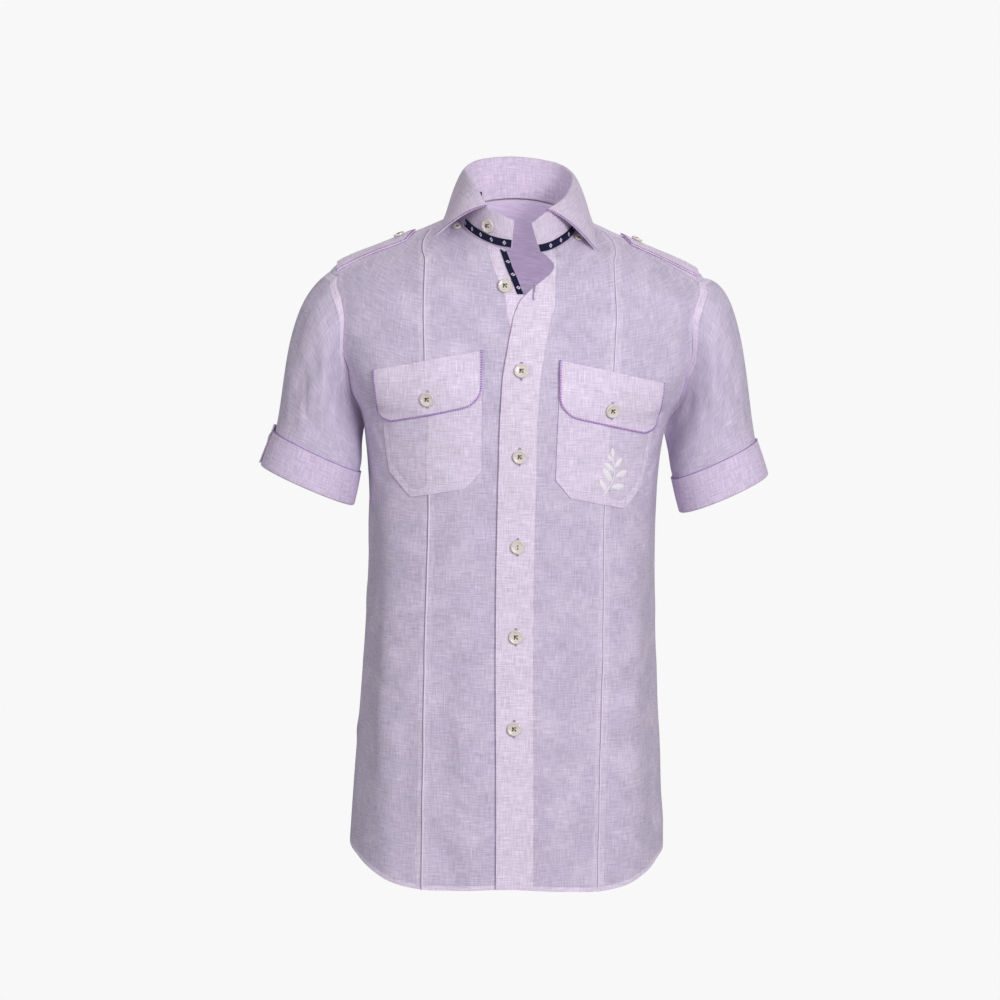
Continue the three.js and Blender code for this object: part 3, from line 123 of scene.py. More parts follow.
OPEN_EDGE_STEPS = (5.4, 6.4, 7.4, 8.2, 8.65, 8.95, 9.3)
HEM_HEIGHT = (
    (0, -744), (40, -748), (52, -744), (64, -733), (76, -721),
    (90, -714), (104, -718), (120, -740), (140, -758), (180, -762),
)
PLACKET_HALF = 21.0
PLACKET_BLEND = 24.0
PLACKET_WIDTHS = (0, 21, 42, 56, 74)
OVER_EDGE = (
    (0, -16), (1, -18), (2, -21.5), (3, -22.5), (6.2, -20), (7.45, -13), (8.1, -8),
    (8.45, -1), (8.7, 11), (8.9, 23), (9.1, 33), (9.3, 34), (9.55, 29), (9.76, 21),
)
UNDER_EDGE = ((6.2, 21), (7.45, 13), (8.6, 3), (8.9, -3), (9.3, -10), (10, -17))
NECK_SEAM = ((-10, 10), (14, 9.76), (34, 9.85), (62, 10))
LAPEL_WIDTH = 42.0
LAPEL_FROM = 8.2
LAPEL_MIDDLE = 9.3
HEM_DEPTH = 5.5


@dataclass(frozen=True)
class Fold:
    """A soft fold: a run from one place to another, its half width and its height in mm."""

    start: tuple[float, float]
    end: tuple[float, float]
    width: float
    height: float


BODY_FOLDS = (
    Fold((76, 5.6), (67, 4.6), 6, -3.0),
    Fold((-76, 5.6), (-67, 4.6), 6, -3.0),
    Fold((80, 3.4), (72, 0.9), 8, -4.5),
    Fold((-80, 3.2), (-74, 1.0), 8, -4.5),
    Fold((57, 2.6), (54, 0.2), 8, 3.0),
    Fold((-59, 2.4), (-55, 0.2), 8, 3.0),
    Fold((33, 1.7), (30, 0), 7, -2.5),
    Fold((-35, 2.0), (-31, 0), 7, -2.5),
    Fold((106, 5.6), (140, 3.8), 8, -4.0),
    Fold((-106, 5.6), (-138, 3.9), 8, -4.0),
    Fold((150, 3.6), (146, 0.6), 9, -6.0),
    Fold((-152, 3.5), (-147, 0.7), 9, -5.5),
    Fold((172, 3.2), (169, 0.2), 8, 4.0),
    Fold((-168, 2.9), (-171, 0.2), 8, 4.0),
    Fold((120, 2.8), (124, 0.2), 9, 3.5),
    Fold((-121, 2.9), (-125, 0.2), 9, 3.5),
)
BODY_FOLD_SCALE = 22.0
CREASE_SCALE = 1.6
# How far from the middle of the front its inner layer reaches, in mm
FACING_REACH = 38.0
SLEEVE_FOLDS = (
    Fold((60, 0.45), (30, 0.95), 13, -3.5),
    Fold((130, 0.25), (85, 0.8), 14, -4.0),
    Fold((-130, 0.25), (-80, 0.85), 14, -4.0),
    Fold((-50, 0.4), (-25, 0.95), 12, -2.5),
)
SLEEVE_FOLD_SCALE = 120.0

# Small creases of the body, from and to as (distance round in mm, height in mm)
BODY_CREASES = (
    Fold((152, -232), (186, -203), 4.5, -1.1),
    Fold((158, -262), (190, -224), 5, 1.2),
    Fold((146, -292), (186, -262), 5, -0.8),
    Fold((-150, -236), (-188, -204), 4.5, -1.1),
    Fold((-158, -268), (-192, -228), 5, 1.2),
    Fold((-144, -300), (-186, -276), 5, -0.7),
    Fold((112, -522), (186, -470), 8, -0.9),
    Fold((-118, -545), (-190, -500), 8, -0.8),
    Fold((60, -640), (166, -602), 7, 0.7),
    Fold((-40, -612), (-150, -640), 7, -0.7),
    Fold((96, -350), (160, -372), 6, 0.6),
    Fold((-90, -362), (-168, -342), 6, -0.6),
    Fold((30, -404), (46, -300), 5, -0.8),
    Fold((-42, -420), (-36, -330), 5, 0.7),
    Fold((34, -500), (60, -460), 4, -0.8),
    Fold((34, -590), (66, -566), 4, 0.7),
    Fold((26, -470), (44, -740), 10, 1.3),
    Fold((-64, -490), (-52, -745), 12, 1.3),
    Fold((92, -480), (106, -745), 11, -1.3),
    Fold((-112, -500), (-126, -740), 12, -1.4),
    Fold((150, -380), (146, -640), 12, 1.3),
    Fold((-156, -400), (-160, -660), 12, 1.3),
    Fold((-30, -300), (-46, -460), 8, -0.9),
    Fold((430, -330), (404, -720), 14, 1.6),
    Fold((-424, -300), (-398, -700), 14, -1.6),
    Fold((500, -420), (488, -730), 12, 1.3),
    Fold((-496, -380), (-484, -700), 12, -1.2),
    Fold((260, -300), (360, -330), 9, -1.0),
    Fold((-262, -320), (-364, -300), 9, -1.0),
    Fold((280, -430), (380, -410), 9, 0.9),
    Fold((-276, -470), (-378, -450), 9, -0.9),
    Fold((240, -560), (340, -585), 9, 0.8),
    Fold((-244, -600), (-340, -570), 9, 0.8),
)

# Small creases of the sleeves, from and to as (turn in degrees, distance down in mm)
SLEEVE_CREASES = {
    Side.LEFT: (
        Fold((60, 96), (84, 186), 6, -1.6),
        Fold((104, 110), (92, 178), 6, 1.3),
        Fold((30, 120), (46, 190), 5, 1.0),
        Fold((-64, 100), (-88, 184), 6, -1.5),
        Fold((-110, 96), (-96, 170), 7, 1.3),
        Fold((140, 60), (122, 130), 7, -1.2),
    ),
    Side.RIGHT: (
        Fold((52, 104), (74, 188), 5, -2.0),
        Fold((84, 100), (92, 170), 6, 1.6),
        Fold((22, 110), (38, 190), 6, 1.0),
        Fold((-70, 92), (-84, 180), 6, -1.6),
        Fold((-104, 110), (-100, 176), 7, 1.2),
        Fold((136, 66), (118, 140), 7, -1.3),
    ),
}


def srgb(red: float, green: float, blue: float) -> Colour:
    """A screen colour of 0 to 255 as the linear colour that shaders take."""
    parts = [channel / 255 for channel in (red, green, blue)]
    linear = [p / 12.92 if p <= 0.04045 else ((p + 0.055) / 1.055) ** 2.4 for p in parts]
    return (linear[0], linear[1], linear[2], 1.0)


def smooth(value: Array | float, low: float, high: float) -> Array:
    """Smooth step: 3t^2 - 2t^3, with t the share of the way from low to high, held to 0..1."""
    t = np.clip((np.asarray(value, float) - low) / (high - low), 0, 1)
    return t * t * (3 - 2 * t)


def table_curve(keys: Array, values: Array, place: Array | float) -> Array:
    """Smooth curve through a table, worked out for many places at once.

    Between two rows it is a cubic with the slope of the rows on both sides, and past the ends
    it keeps the end value.

    Args:
        keys: Rising key column.
        values: Value column.
        place: Where to read the curve.

    Returns:
        Values with the shape of place.
    """
    keys = np.asarray(keys, float)
    values = np.asarray(values, float)
    held = np.clip(place, keys[0], keys[-1])
    row = np.clip(np.searchsorted(keys, held, side="right") - 1, 0, len(keys) - 2)
    t = (held - keys[row]) / (keys[row + 1] - keys[row])
    before = values[np.maximum(row - 1, 0)]
    start = values[row]
    end = values[row + 1]
    after = values[np.minimum(row + 2, len(keys) - 1)]
    linear = (end - before) * t
    square = (2 * before - 5 * start + 4 * end - after) * t**2
    cube = (3 * start - before - 3 * end + after) * t**3
    return 0.5 * (2 * start + linear + square + cube)


def rows_curve(rows: Rows, place: Array | float) -> Array:
    """Reads a table of (key, value) rows as table_curve does."""
    return table_curve([row[0] for row in rows], [row[1] for row in rows], place)


def wrapped(angle: Array | float) -> Array:
    """An angle brought between -180 and 180."""
    return angle - 360 * np.round(np.asarray(angle, float) / 360)


def fold_height(folds: tuple[Fold, ...], across: Array, along: Array, scale: float) -> Array:
    """Height of soft folds: each is its height times exp(-(distance to its run / width)^2).

    Args:
        folds: The folds, with places as (angle across, place along).
        across: Angles where to read them.
        along: Places along where to read them.
        scale: Units of across for one unit of along.

    Returns:
        The sum of the folds.
    """
    total = np.zeros(np.broadcast(across, along).shape)
    for fold in folds:
        run_across = wrapped(fold.end[0] - fold.start[0])
        run_along = (fold.end[1] - fold.start[1]) * scale
        from_start = wrapped(across - fold.start[0])
        up_start = (along - fold.start[1]) * scale
        t = (from_start * run_across + up_start * run_along) / (run_across**2 + run_along**2)
        held = np.clip(t, 0, 1)
        miss = (from_start - held * run_across) ** 2 + (up_start - held * run_along) ** 2
        total += fold.height * np.exp(-miss / fold.width**2)
    return total


def crease_height(creases: tuple[Fold, ...], across: Array, along: Array) -> Array:
    """Height of small creases on a flat map in mm: as a fold's, but rising from nothing at one
    end of its run and falling to nothing at the other, by a half sine.

    Args:
        creases: The creases, with places in mm.
        across: Distances across.
        along: Distances along.

    Returns:
        The sum of the creases.
    """
    total = np.zeros(np.broadcast(across, along).shape)
    for crease in creases:
        run = np.subtract(crease.end, crease.start)
        from_start = (across - crease.start[0], along - crease.start[1])
        t = (from_start[0] * run[0] + from_start[1] * run[1]) / (run @ run)
        held = np.clip(t, 0, 1)
        miss = (from_start[0] - held * run[0]) ** 2 + (from_start[1] - held * run[1]) ** 2
        total += crease.height * np.sin(np.pi * held) * np.exp(-miss / crease.width**2)
    return total


def rumple(across: Array, along: Array, seed: int, height: float) -> Array:
    """Low rumpling of linen, in mm: a seeded sum of sine waves of many lengths and ways.

    Args:
        across: Distance across the cloth in mm.
        along: Distance along the cloth in mm.
        seed: Which rumpling.
        height: Height of the longest wave in mm.

    Returns:
        Heights with the shape of the places.
    """
    draw = np.random.default_rng(seed)
    total = np.zeros(np.broadcast(across, along).shape)
    for length in np.linspace(SHORTEST_WAVE, LONGEST_WAVE, WAVES):
        way = draw.uniform(0, math.pi)
        phase = draw.uniform(0, 2 * math.pi)
        share = 2 * math.pi / length
        wave = np.sin(share * (math.cos(way) * across + math.sin(way) * along) + phase)
        total += height * (length / LONGEST_WAVE) ** 1.5 * wave
    return total


def where_reached(
    rising: Callable[[Array], Array], target: Array | float, low: float, high: float
) -> Array:
    """Where a rising function reaches a target, by halving, for many places at once.

    Args:
        rising: Function of an array.
        target: Wanted values.
        low: Lowest place.
        high: Highest place.

    Returns:
        The places.
    """
    target = np.asarray(target, float)
    bottom = np.full(target.shape, float(low))
    top = np.full(target.shape, float(high))
    for _ in range(HALVINGS):
        middle = (bottom + top) / 2
        is_below = rising(middle) < target
        bottom = np.where(is_below, middle, bottom)
        top = np.where(is_below, top, middle)
    return (bottom + top) / 2


def unit(vectors: Array) -> Array:
    """Vectors of length 1."""
    return vectors / np.maximum(np.linalg.norm(vectors, axis=-1, keepdims=True), 1e-9)


def lengths_along(line: Array) -> Array:
    """Length along a line at each of its points."""
    return np.concatenate([[0], np.cumsum(np.linalg.norm(np.diff(line, axis=0), axis=1))])


def read_rows(rows: Array, keys: Array, wanted: Array) -> Array:
    """Rows read at the wanted keys, straight from one row to the next."""
    return np.stack([np.interp(wanted, keys, column) for column in rows.T], axis=1)


def grid_lengths(points: Array) -> Array:
    """Mean lengths along the rows and along the columns of a grid, as (rows, columns, 2)."""
    round_ = np.linalg.norm(np.diff(points, axis=1), axis=-1).mean(axis=0)
    up = np.linalg.norm(np.diff(points, axis=0), axis=-1).mean(axis=1)
    across = np.concatenate([[0], np.cumsum(round_)])
    along = np.concatenate([[0], np.cumsum(up)])
    return np.stack(np.broadcast_arrays(across[None, :], along[:, None]), axis=-1)


def grid_normals(points: Array, middle: Array, wraps: bool = False) -> Array:
    """Normals of a grid: the cross product of its steps along rows and along columns, turned
    as a whole to the side away from a middle.

    Args:
        points: (rows, columns, 3) points.
        middle: A point that the grid faces away from, or one for each row.
        wraps: True where the last column meets the first.

    Returns:
        (rows, columns, 3) unit vectors.
    """
    if wraps:
        along = np.roll(points, -1, axis=1) - np.roll(points, 1, axis=1)
    else:
        along = np.gradient(points, axis=1)
    normals = unit(np.cross(along, np.gradient(points, axis=0)))
    away = np.einsum("rcx,rcx->rc", normals, points - middle)
    return normals if away.mean() > 0 else -normals


def coons(bottom: Array, top: Array, left: Array, right: Array) -> Array:
    """Fills four edges of places: each is a blend of the edges less the blend of the corners.

    Args:
        bottom: (columns, n) places.
        top: (columns, n) places.
        left: (rows, n) places, from bottom to top.
        right: (rows, n) places.

    Returns:
        (rows, columns, n) places.
    """
    t = np.linspace(0, 1, len(left))[:, None, None]
    s = np.linspace(0, 1, len(bottom))[None, :, None]
    edges = (1 - t) * bottom[None] + t * top[None] + (1 - s) * left[:, None] + s * right[:, None]
    corners = ((1 - s) * (1 - t) * bottom[0] + s * (1 - t) * bottom[-1]
               + (1 - s) * t * top[0] + s * t * top[-1])
    return edges - corners


def line_distance(points: Array, line: Array) -> Array:
    """Distance of each point to the nearest of a fine row of points.

    Args:
        points: (..., n) points.
        line: (m, n) points of the line.

    Returns:
        (...) distances.
    """
    nearest = np.full(points.shape[:-1], np.inf)
    for part in np.array_split(line, max(1, len(line) // 60)):
        gap = np.linalg.norm(points[..., None, :] - part, axis=-1)
        nearest = np.minimum(nearest, gap.min(axis=-1))
    return nearest


def resampled(line: Array, count: int) -> Array:
    """A row of points or places spread evenly along the length of a line.

    Args:
        line: (m, n) points.
        count: How many to give.

    Returns:
        (count, n) points.
    """
    length = lengths_along(line)
    return read_rows(line, length, np.linspace(0, length[-1], count))


def seam_distance(points: Array, lines: list[Array]) -> Array:
    """Distance of points in the plane from the nearest of some lines."""
    return np.min([line_distance(points, resampled(line, SEAM_STEPS)) for line in lines], axis=0)


class BodyForm:
    """The shirt's body as a surface of angle and level, and the ways to find places on it."""

    ROWS_PER_LEVEL = 6
    ANGLE_STEP = 2.0
    RISE_ANGLE = 35.0
    LEVEL_STEP = 0.02
    WIDEST_FRONT_ANGLE = 89.0
    FIRST_TRIED_ANGLE = 30.0
    PLACE_ROUNDS = 6
    RUMPLE_SEED = 7
    RUMPLE_HEIGHT = 0.36
    CALM_BY_SEAM = 4.0
    CALM_BELOW = (0.1, 1.0)
    CALM_ABOVE = (8.4, 9.4)

    def __init__(self) -> None:
        """Works out the lengths of cloth round each level and up the front."""
        self.levels = np.linspace(0, NECK_LEVEL, int(NECK_LEVEL) * self.ROWS_PER_LEVEL + 1)
        self.angles = np.arange(-180, 361, self.ANGLE_STEP)
        ring = self.point(self.angles[None, :], self.levels[:, None])
        steps = np.linalg.norm(np.diff(ring, axis=1), axis=-1)
        start = np.zeros((len(self.levels), 1))
        self.arc = np.concatenate([start, np.cumsum(steps, axis=1)], axis=1)
        middle = int(180 / self.ANGLE_STEP)
        self.arc -= self.arc[:, middle : middle + 1]
        angle = np.full(len(self.levels), self.RISE_ANGLE)
        self.rise = lengths_along(self.point(angle, self.levels))

    def point(self, angle: Array | float, level: Array | float) -> Array:
        """Points of the body: a superellipse of the level's half width and depth, whose height
        falls from the side's to the front's or back's with the reach forward or back.

        Args:
            angle: Angles in degrees.
            level: Levels.

        Returns:
            (..., 3) points in mm.
        """
        angle, level = np.broadcast_arrays(np.asarray(angle, float), np.asarray(level, float))
        keys = np.arange(11)
        part = {name: table_curve(keys, row, level) for name, row in BODY_SECTIONS.items()}
        sine = np.sin(np.radians(angle))
        cosine = np.cos(np.radians(angle))
        depth = np.where(cosine > 0, part["front"], part["back"])
        z_end = np.where(cosine > 0, part["z_front"], part["z_back"])
        power = part["square"]
        share = np.abs(sine / part["half_width"]) ** power + np.abs(cosine / depth) ** power
        radius = share ** (-1 / power) + fold_height(BODY_FOLDS, angle, level, BODY_FOLD_SCALE)
        reach = np.abs(radius * cosine) / depth
        z = part["z_side"] + (z_end - part["z_side"]) * reach**SHOULDER_FALL
        return np.stack([radius * sine, -radius * cosine, z], axis=-1)

    def normal(self, angle: Array, level: Array) -> Array:
        """The way out of the body: the cross product of its steps round and up."""
        round_ = self.point(angle + 1, level) - self.point(angle - 1, level)
        up = self.point(angle, np.minimum(level + self.LEVEL_STEP, NECK_LEVEL))
        return unit(np.cross(round_, up - self.point(angle, level - self.LEVEL_STEP)))

    def angle_at_x(self, x: Array | float, level: Array | float) -> Array:
        """The angle at which the front of a level has a given x."""
        x, level = np.broadcast_arrays(np.asarray(x, float), np.asarray(level, float))
        side = np.where(x < 0, -1.0, 1.0)

        def reach(tried: Array) -> Array:
            """How far out an angle lies."""
            return side * self.point(side * tried, level)[..., 0]

        return side * where_reached(reach, np.abs(x), 0, self.WIDEST_FRONT_ANGLE)

    def level_at_height(self, z: Array | float, angle: Array | float) -> Array:
        """The level at which an angle has a given height."""
        z, angle = np.broadcast_arrays(np.asarray(z, float), np.asarray(angle, float))
        return where_reached(lambda tried: self.point(angle, tried)[..., 2], z, 0, NECK_LEVEL)

    def place_on_front(self, x: Array | float, z: Array | float) -> Array:
        """The (angle, level) of the front that is seen at a given x and z."""
        x, z = np.broadcast_arrays(np.asarray(x, float), np.asarray(z, float))
        angle = np.where(x < 0, -self.FIRST_TRIED_ANGLE, self.FIRST_TRIED_ANGLE)
        level = np.full(x.shape, CHEST_LEVEL)
        for _ in range(self.PLACE_ROUNDS):
            level = self.level_at_height(z, angle)
            angle = self.angle_at_x(x, level)
        return np.stack([angle, level], axis=-1)

    def place_on_shoulder(self, x: Array | float, y: Array | float) -> Array:
        """The (angle, level) of a shoulder that is seen from above at a given x and y."""
        x, y = np.broadcast_arrays(np.asarray(x, float), np.asarray(y, float))
        angle = np.degrees(np.arctan2(x, -y))

        def nearness(tried: Array) -> Array:
            """Minus the distance from the middle of the neck."""
            point = self.point(angle, tried)
            return -np.hypot(point[..., 0], point[..., 1])

        level = where_reached(nearness, -np.hypot(x, y), CHEST_LEVEL, NECK_LEVEL)
        return np.stack([angle, level], axis=-1)

    def hem_level(self, angle: Array | float) -> Array:
        """The level of the hem at an angle."""
        return self.level_at_height(rows_curve(HEM_HEIGHT, np.abs(wrapped(angle))), angle)

    def cloth_measures(self, places: Array) -> Array:
        """Distances in mm along the threads: round the level's ring from the centre front,
        and up the front from the lowest level.

        Args:
            places: (..., 2) angles and levels.

        Returns:
            (..., 2) distances.
        """
        row = np.clip(places[..., 1] * self.ROWS_PER_LEVEL, 0, len(self.levels) - 1.001)
        column = (places[..., 0] + 180) / self.ANGLE_STEP
        column = np.clip(column, 0, len(self.angles) - 1.001)
        low = row.astype(int)
        left = column.astype(int)
        up = row - low
        right = column - left
        near = (1 - right) * self.arc[low, left] + right * self.arc[low, left + 1]
        far = (1 - right) * self.arc[low + 1, left] + right * self.arc[low + 1, left + 1]
        along = np.interp(places[..., 1], self.levels, self.rise)
        return np.stack([(1 - up) * near + up * far, along], axis=-1)

    def cloth(self, places: Array, lift: Array | float = 0.0) -> tuple[Array, Array]:
        """Points and ways out of the cloth: the body with small creases and rumpling, which
        die out at the side seams, the hem and the neck.

        Args:
            places: (..., 2) angles and levels.
            lift: Distance off the body.

        Returns:
            Points and unit vectors, (..., 3) each.
        """
        angle = places[..., 0]
        plain = self.point(angle, places[..., 1])
        out = self.normal(angle, places[..., 1])
        measures = self.cloth_measures(places)
        whole = self.arc[0, -1]
        round_ = np.where(angle > 180, measures[..., 0] - whole, measures[..., 0])
        creases = CREASE_SCALE * crease_height(BODY_CREASES, round_, plain[..., 2])
        soft = rumple(measures[..., 0], measures[..., 1], self.RUMPLE_SEED, self.RUMPLE_HEIGHT)
        from_seam = (np.abs(wrapped(angle)) - SIDE_ANGLE) / self.CALM_BY_SEAM
        off_seam = 1 - np.exp(-(from_seam**2))
        inside = smooth(places[..., 1], *self.CALM_BELOW)
        inside *= 1 - smooth(places[..., 1], *self.CALM_ABOVE)
        height = np.asarray(lift) + (creases + soft * off_seam) * inside
        return plain + out * height[..., None], out


BODY = BodyForm()


def neck_seam_level(angle: Array | float) -> Array:
    """The level of the neck's seam at an angle: it hangs lower at the end of the over front."""
    return rows_curve(NECK_SEAM, wrapped(angle))


@dataclass
class ClothGrid:
    """The middle of a cloth wall on a grid, with what its finish reads.

    Attributes:
        points: (rows, columns, 3) middle points in mm.
        out: (rows, columns, 3) ways out.
        uv: (rows, columns, 2) lengths along the threads in mm, one column more on a tube.
        half: Half thickness in mm.
        single: Distance in mm from the nearest double layer, below 0 inside one.
        seam: Distance in mm from the nearest sewn edge.
        wraps: True where the last column meets the first.
    """

    points: Array
    out: Array
    uv: Array
    half: Array | float = LINEN_HALF
    single: Array | float = FAR_OUTSIDE
    seam: Array | float = FAR_OUTSIDE
    wraps: bool = False

    def __post_init__(self) -> None:
        """Spreads plain numbers over the grid."""
        shape = self.points.shape[:2]
        self.half = np.broadcast_to(np.asarray(self.half, float), shape)
        self.single = np.broadcast_to(np.asarray(self.single, float), shape)
        self.seam = np.broadcast_to(np.asarray(self.seam, float), shape)

    def with_edge_lines(self, share: float = 0.16) -> "ClothGrid":
        """The same grid with a line close to each free edge, so that shading keeps it crisp."""

        def rows(values: Array) -> Array:
            """Adds a row inside the first and the last one."""
            second = values[:1] + (values[1:2] - values[:1]) * share
            before = values[-1:] + (values[-2:-1] - values[-1:]) * share
            return np.concatenate([values[:1], second, values[1:-1], before, values[-1:]])

        def both(values: Array) -> Array:
            """Adds rows, and columns too where the grid is open."""
            values = rows(values)
            if self.wraps:
                return values
            return np.swapaxes(rows(np.swapaxes(values, 0, 1)), 0, 1)

        return ClothGrid(both(self.points), unit(both(self.out)), both(self.uv), both(self.half),
                         both(self.single), both(self.seam), self.wraps)


def wall_faces(index: Array, inner: Array, is_open: bool) -> Array:
    """Quads of a closed wall: its outer side, its inner side and its rims.

    Args:
        index: (rows, columns) numbers of the outer points.
        inner: The same for the inner points.
        is_open: True where the first and last columns are rims as well.

    Returns:
        (n, 4) numbers.
    """

    def cells(a: Array, b: Array, c: Array, d: Array) -> Array:
        """Quads from four arrays of corners."""
        return np.stack([a, b, c, d], axis=-1).reshape(-1, 4)

    faces = [
        cells(index[:-1, :-1], index[:-1, 1:], index[1:, 1:], index[1:, :-1]),
        cells(inner[:-1, :-1], inner[1:, :-1], inner[1:, 1:], inner[:-1, 1:]),
        cells(index[0, :-1], inner[0, :-1], inner[0, 1:], index[0, 1:]),
        cells(index[-1, :-1], index[-1, 1:], inner[-1, 1:], inner[-1, :-1]),
    ]
    if is_open:
        faces.append(cells(index[:-1, 0], index[1:, 0], inner[1:, 0], inner[:-1, 0]))
        faces.append(cells(index[:-1, -1], inner[:-1, -1], inner[1:, -1], index[1:, -1]))
    return np.concatenate(faces)


def new_mesh(
    name: str, points: Array, faces: list[Array], uv: Array | None = None
) -> bpy.types.Object:
    """An object in the scene from points in mm and faces of three or four corners.

    Args:
        name: Name of the piece.
        points: (n, 3) points.
        faces: Arrays of faces, each of one number of corners.
        uv: Lengths along the threads in mm for each corner of each face, in order.

    Returns:
        The object, smooth, with sharp edges where its faces turn by more than the sharp angle.
    """
    mesh = bpy.data.meshes.new(name)
    mesh.vertices.add(len(points))
    mesh.vertices.foreach_set("co", (points * METRES).astype(np.float32).ravel())
    corners = np.concatenate([part.ravel() for part in faces]).astype(np.int32)
    sizes = np.concatenate([np.full(len(part), part.shape[1]) for part in faces])
    starts = np.concatenate([[0], np.cumsum(sizes)[:-1]]).astype(np.int32)
    mesh.loops.add(len(corners))
    mesh.loops.foreach_set("vertex_index", corners)
    mesh.polygons.add(len(starts))
    mesh.polygons.foreach_set("loop_start", starts)
    mesh.polygons.foreach_set("use_smooth", np.ones(len(starts), bool))
    mesh.update(calc_edges=True)
    if uv is not None:
        layer = mesh.uv_layers.new(name="cloth")
        layer.data.foreach_set("uv", (uv * METRES).astype(np.float32).ravel())
    mesh.set_sharp_from_angle(angle=math.radians(SHARP_ANGLE))
    piece = bpy.data.objects.new(name, mesh)
    bpy.context.scene.collection.objects.link(piece)
    return piece


def new_wall(name: str, grid: ClothGrid) -> bpy.types.Object:
    """A closed wall of cloth: the grid moved out and in by its half thickness, with rims.

    Args:
        name: Name of the piece.
        grid: The grid of its middle.

    Returns:
        The object with the UV map cloth and the attributes single and seam, in metres.
    """
    fine = grid.with_edge_lines()
    rows, columns = fine.points.shape[:2]
    shift = fine.out * fine.half[..., None]
    points = np.concatenate([(fine.points + shift).reshape(-1, 3),
                             (fine.points - shift).reshape(-1, 3)])
    index = np.arange(rows * columns).reshape(rows, columns)
    spots = index
    if fine.wraps:
        index = np.concatenate([index, index[:, :1]], axis=1)
        spots = np.arange(rows * (columns + 1)).reshape(rows, columns + 1)
    faces = wall_faces(index, index + rows * columns, not fine.wraps)
    corners = wall_faces(spots, spots, not fine.wraps)
    first = points[faces[:, 2]] - points[faces[:, 0]]
    second = points[faces[:, 3]] - points[faces[:, 1]]
    cells = (rows - 1) * (index.shape[1] - 1)
    ways = fine.out.reshape(-1, 3)[faces[:cells, 0]]
    if (np.cross(first, second)[:cells] * ways).sum() < 0:
        faces = faces[:, ::-1]
        corners = corners[:, ::-1]
    uv = fine.uv.reshape(-1, 2)[corners.ravel()]
    piece = new_mesh(name, points, [faces], uv)
    for mark, values in (("single", fine.single), ("seam", fine.seam)):
        attribute = piece.data.attributes.new(mark, "FLOAT", "POINT")
        both = np.concatenate([values.ravel(), values.ravel()]) * METRES
        attribute.data.foreach_set("value", both.astype(np.float32))
    return piece


@dataclass(frozen=True)
class Cut:
    """A cloth piece's flat cut in metres and square metres, and how it is held."""

    flat: tuple[float, float]
    area: float
    held: Held
    rests_on: tuple[str, ...] = ()


def dress(piece: bpy.types.Object, finish: "Finish", nodes: tuple[str, ...]) -> None:
    """Gives a piece its finish and its body, and hides the nodes that it stands for.

    Args:
        piece: The piece.
        finish: Its finish.
        nodes: Names of the nodes that it replaces.
    """
    piece.data.materials.append(finish.material())
    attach(piece, "root")
    if nodes:
        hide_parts(*nodes)
    LOG.info("%s: %d faces", piece.name, len(piece.data.polygons))


def add_cloth(name: str, grid: ClothGrid, finish: "Finish") -> None:
    """Adds one cloth piece over the node of the same name.

    Args:
        name: The node's name.
        grid: The cloth's middle.
        finish: What it is finished with.
    """
    piece = new_wall(f"{name}_cloth", grid)
    dress(piece, finish, (name,))


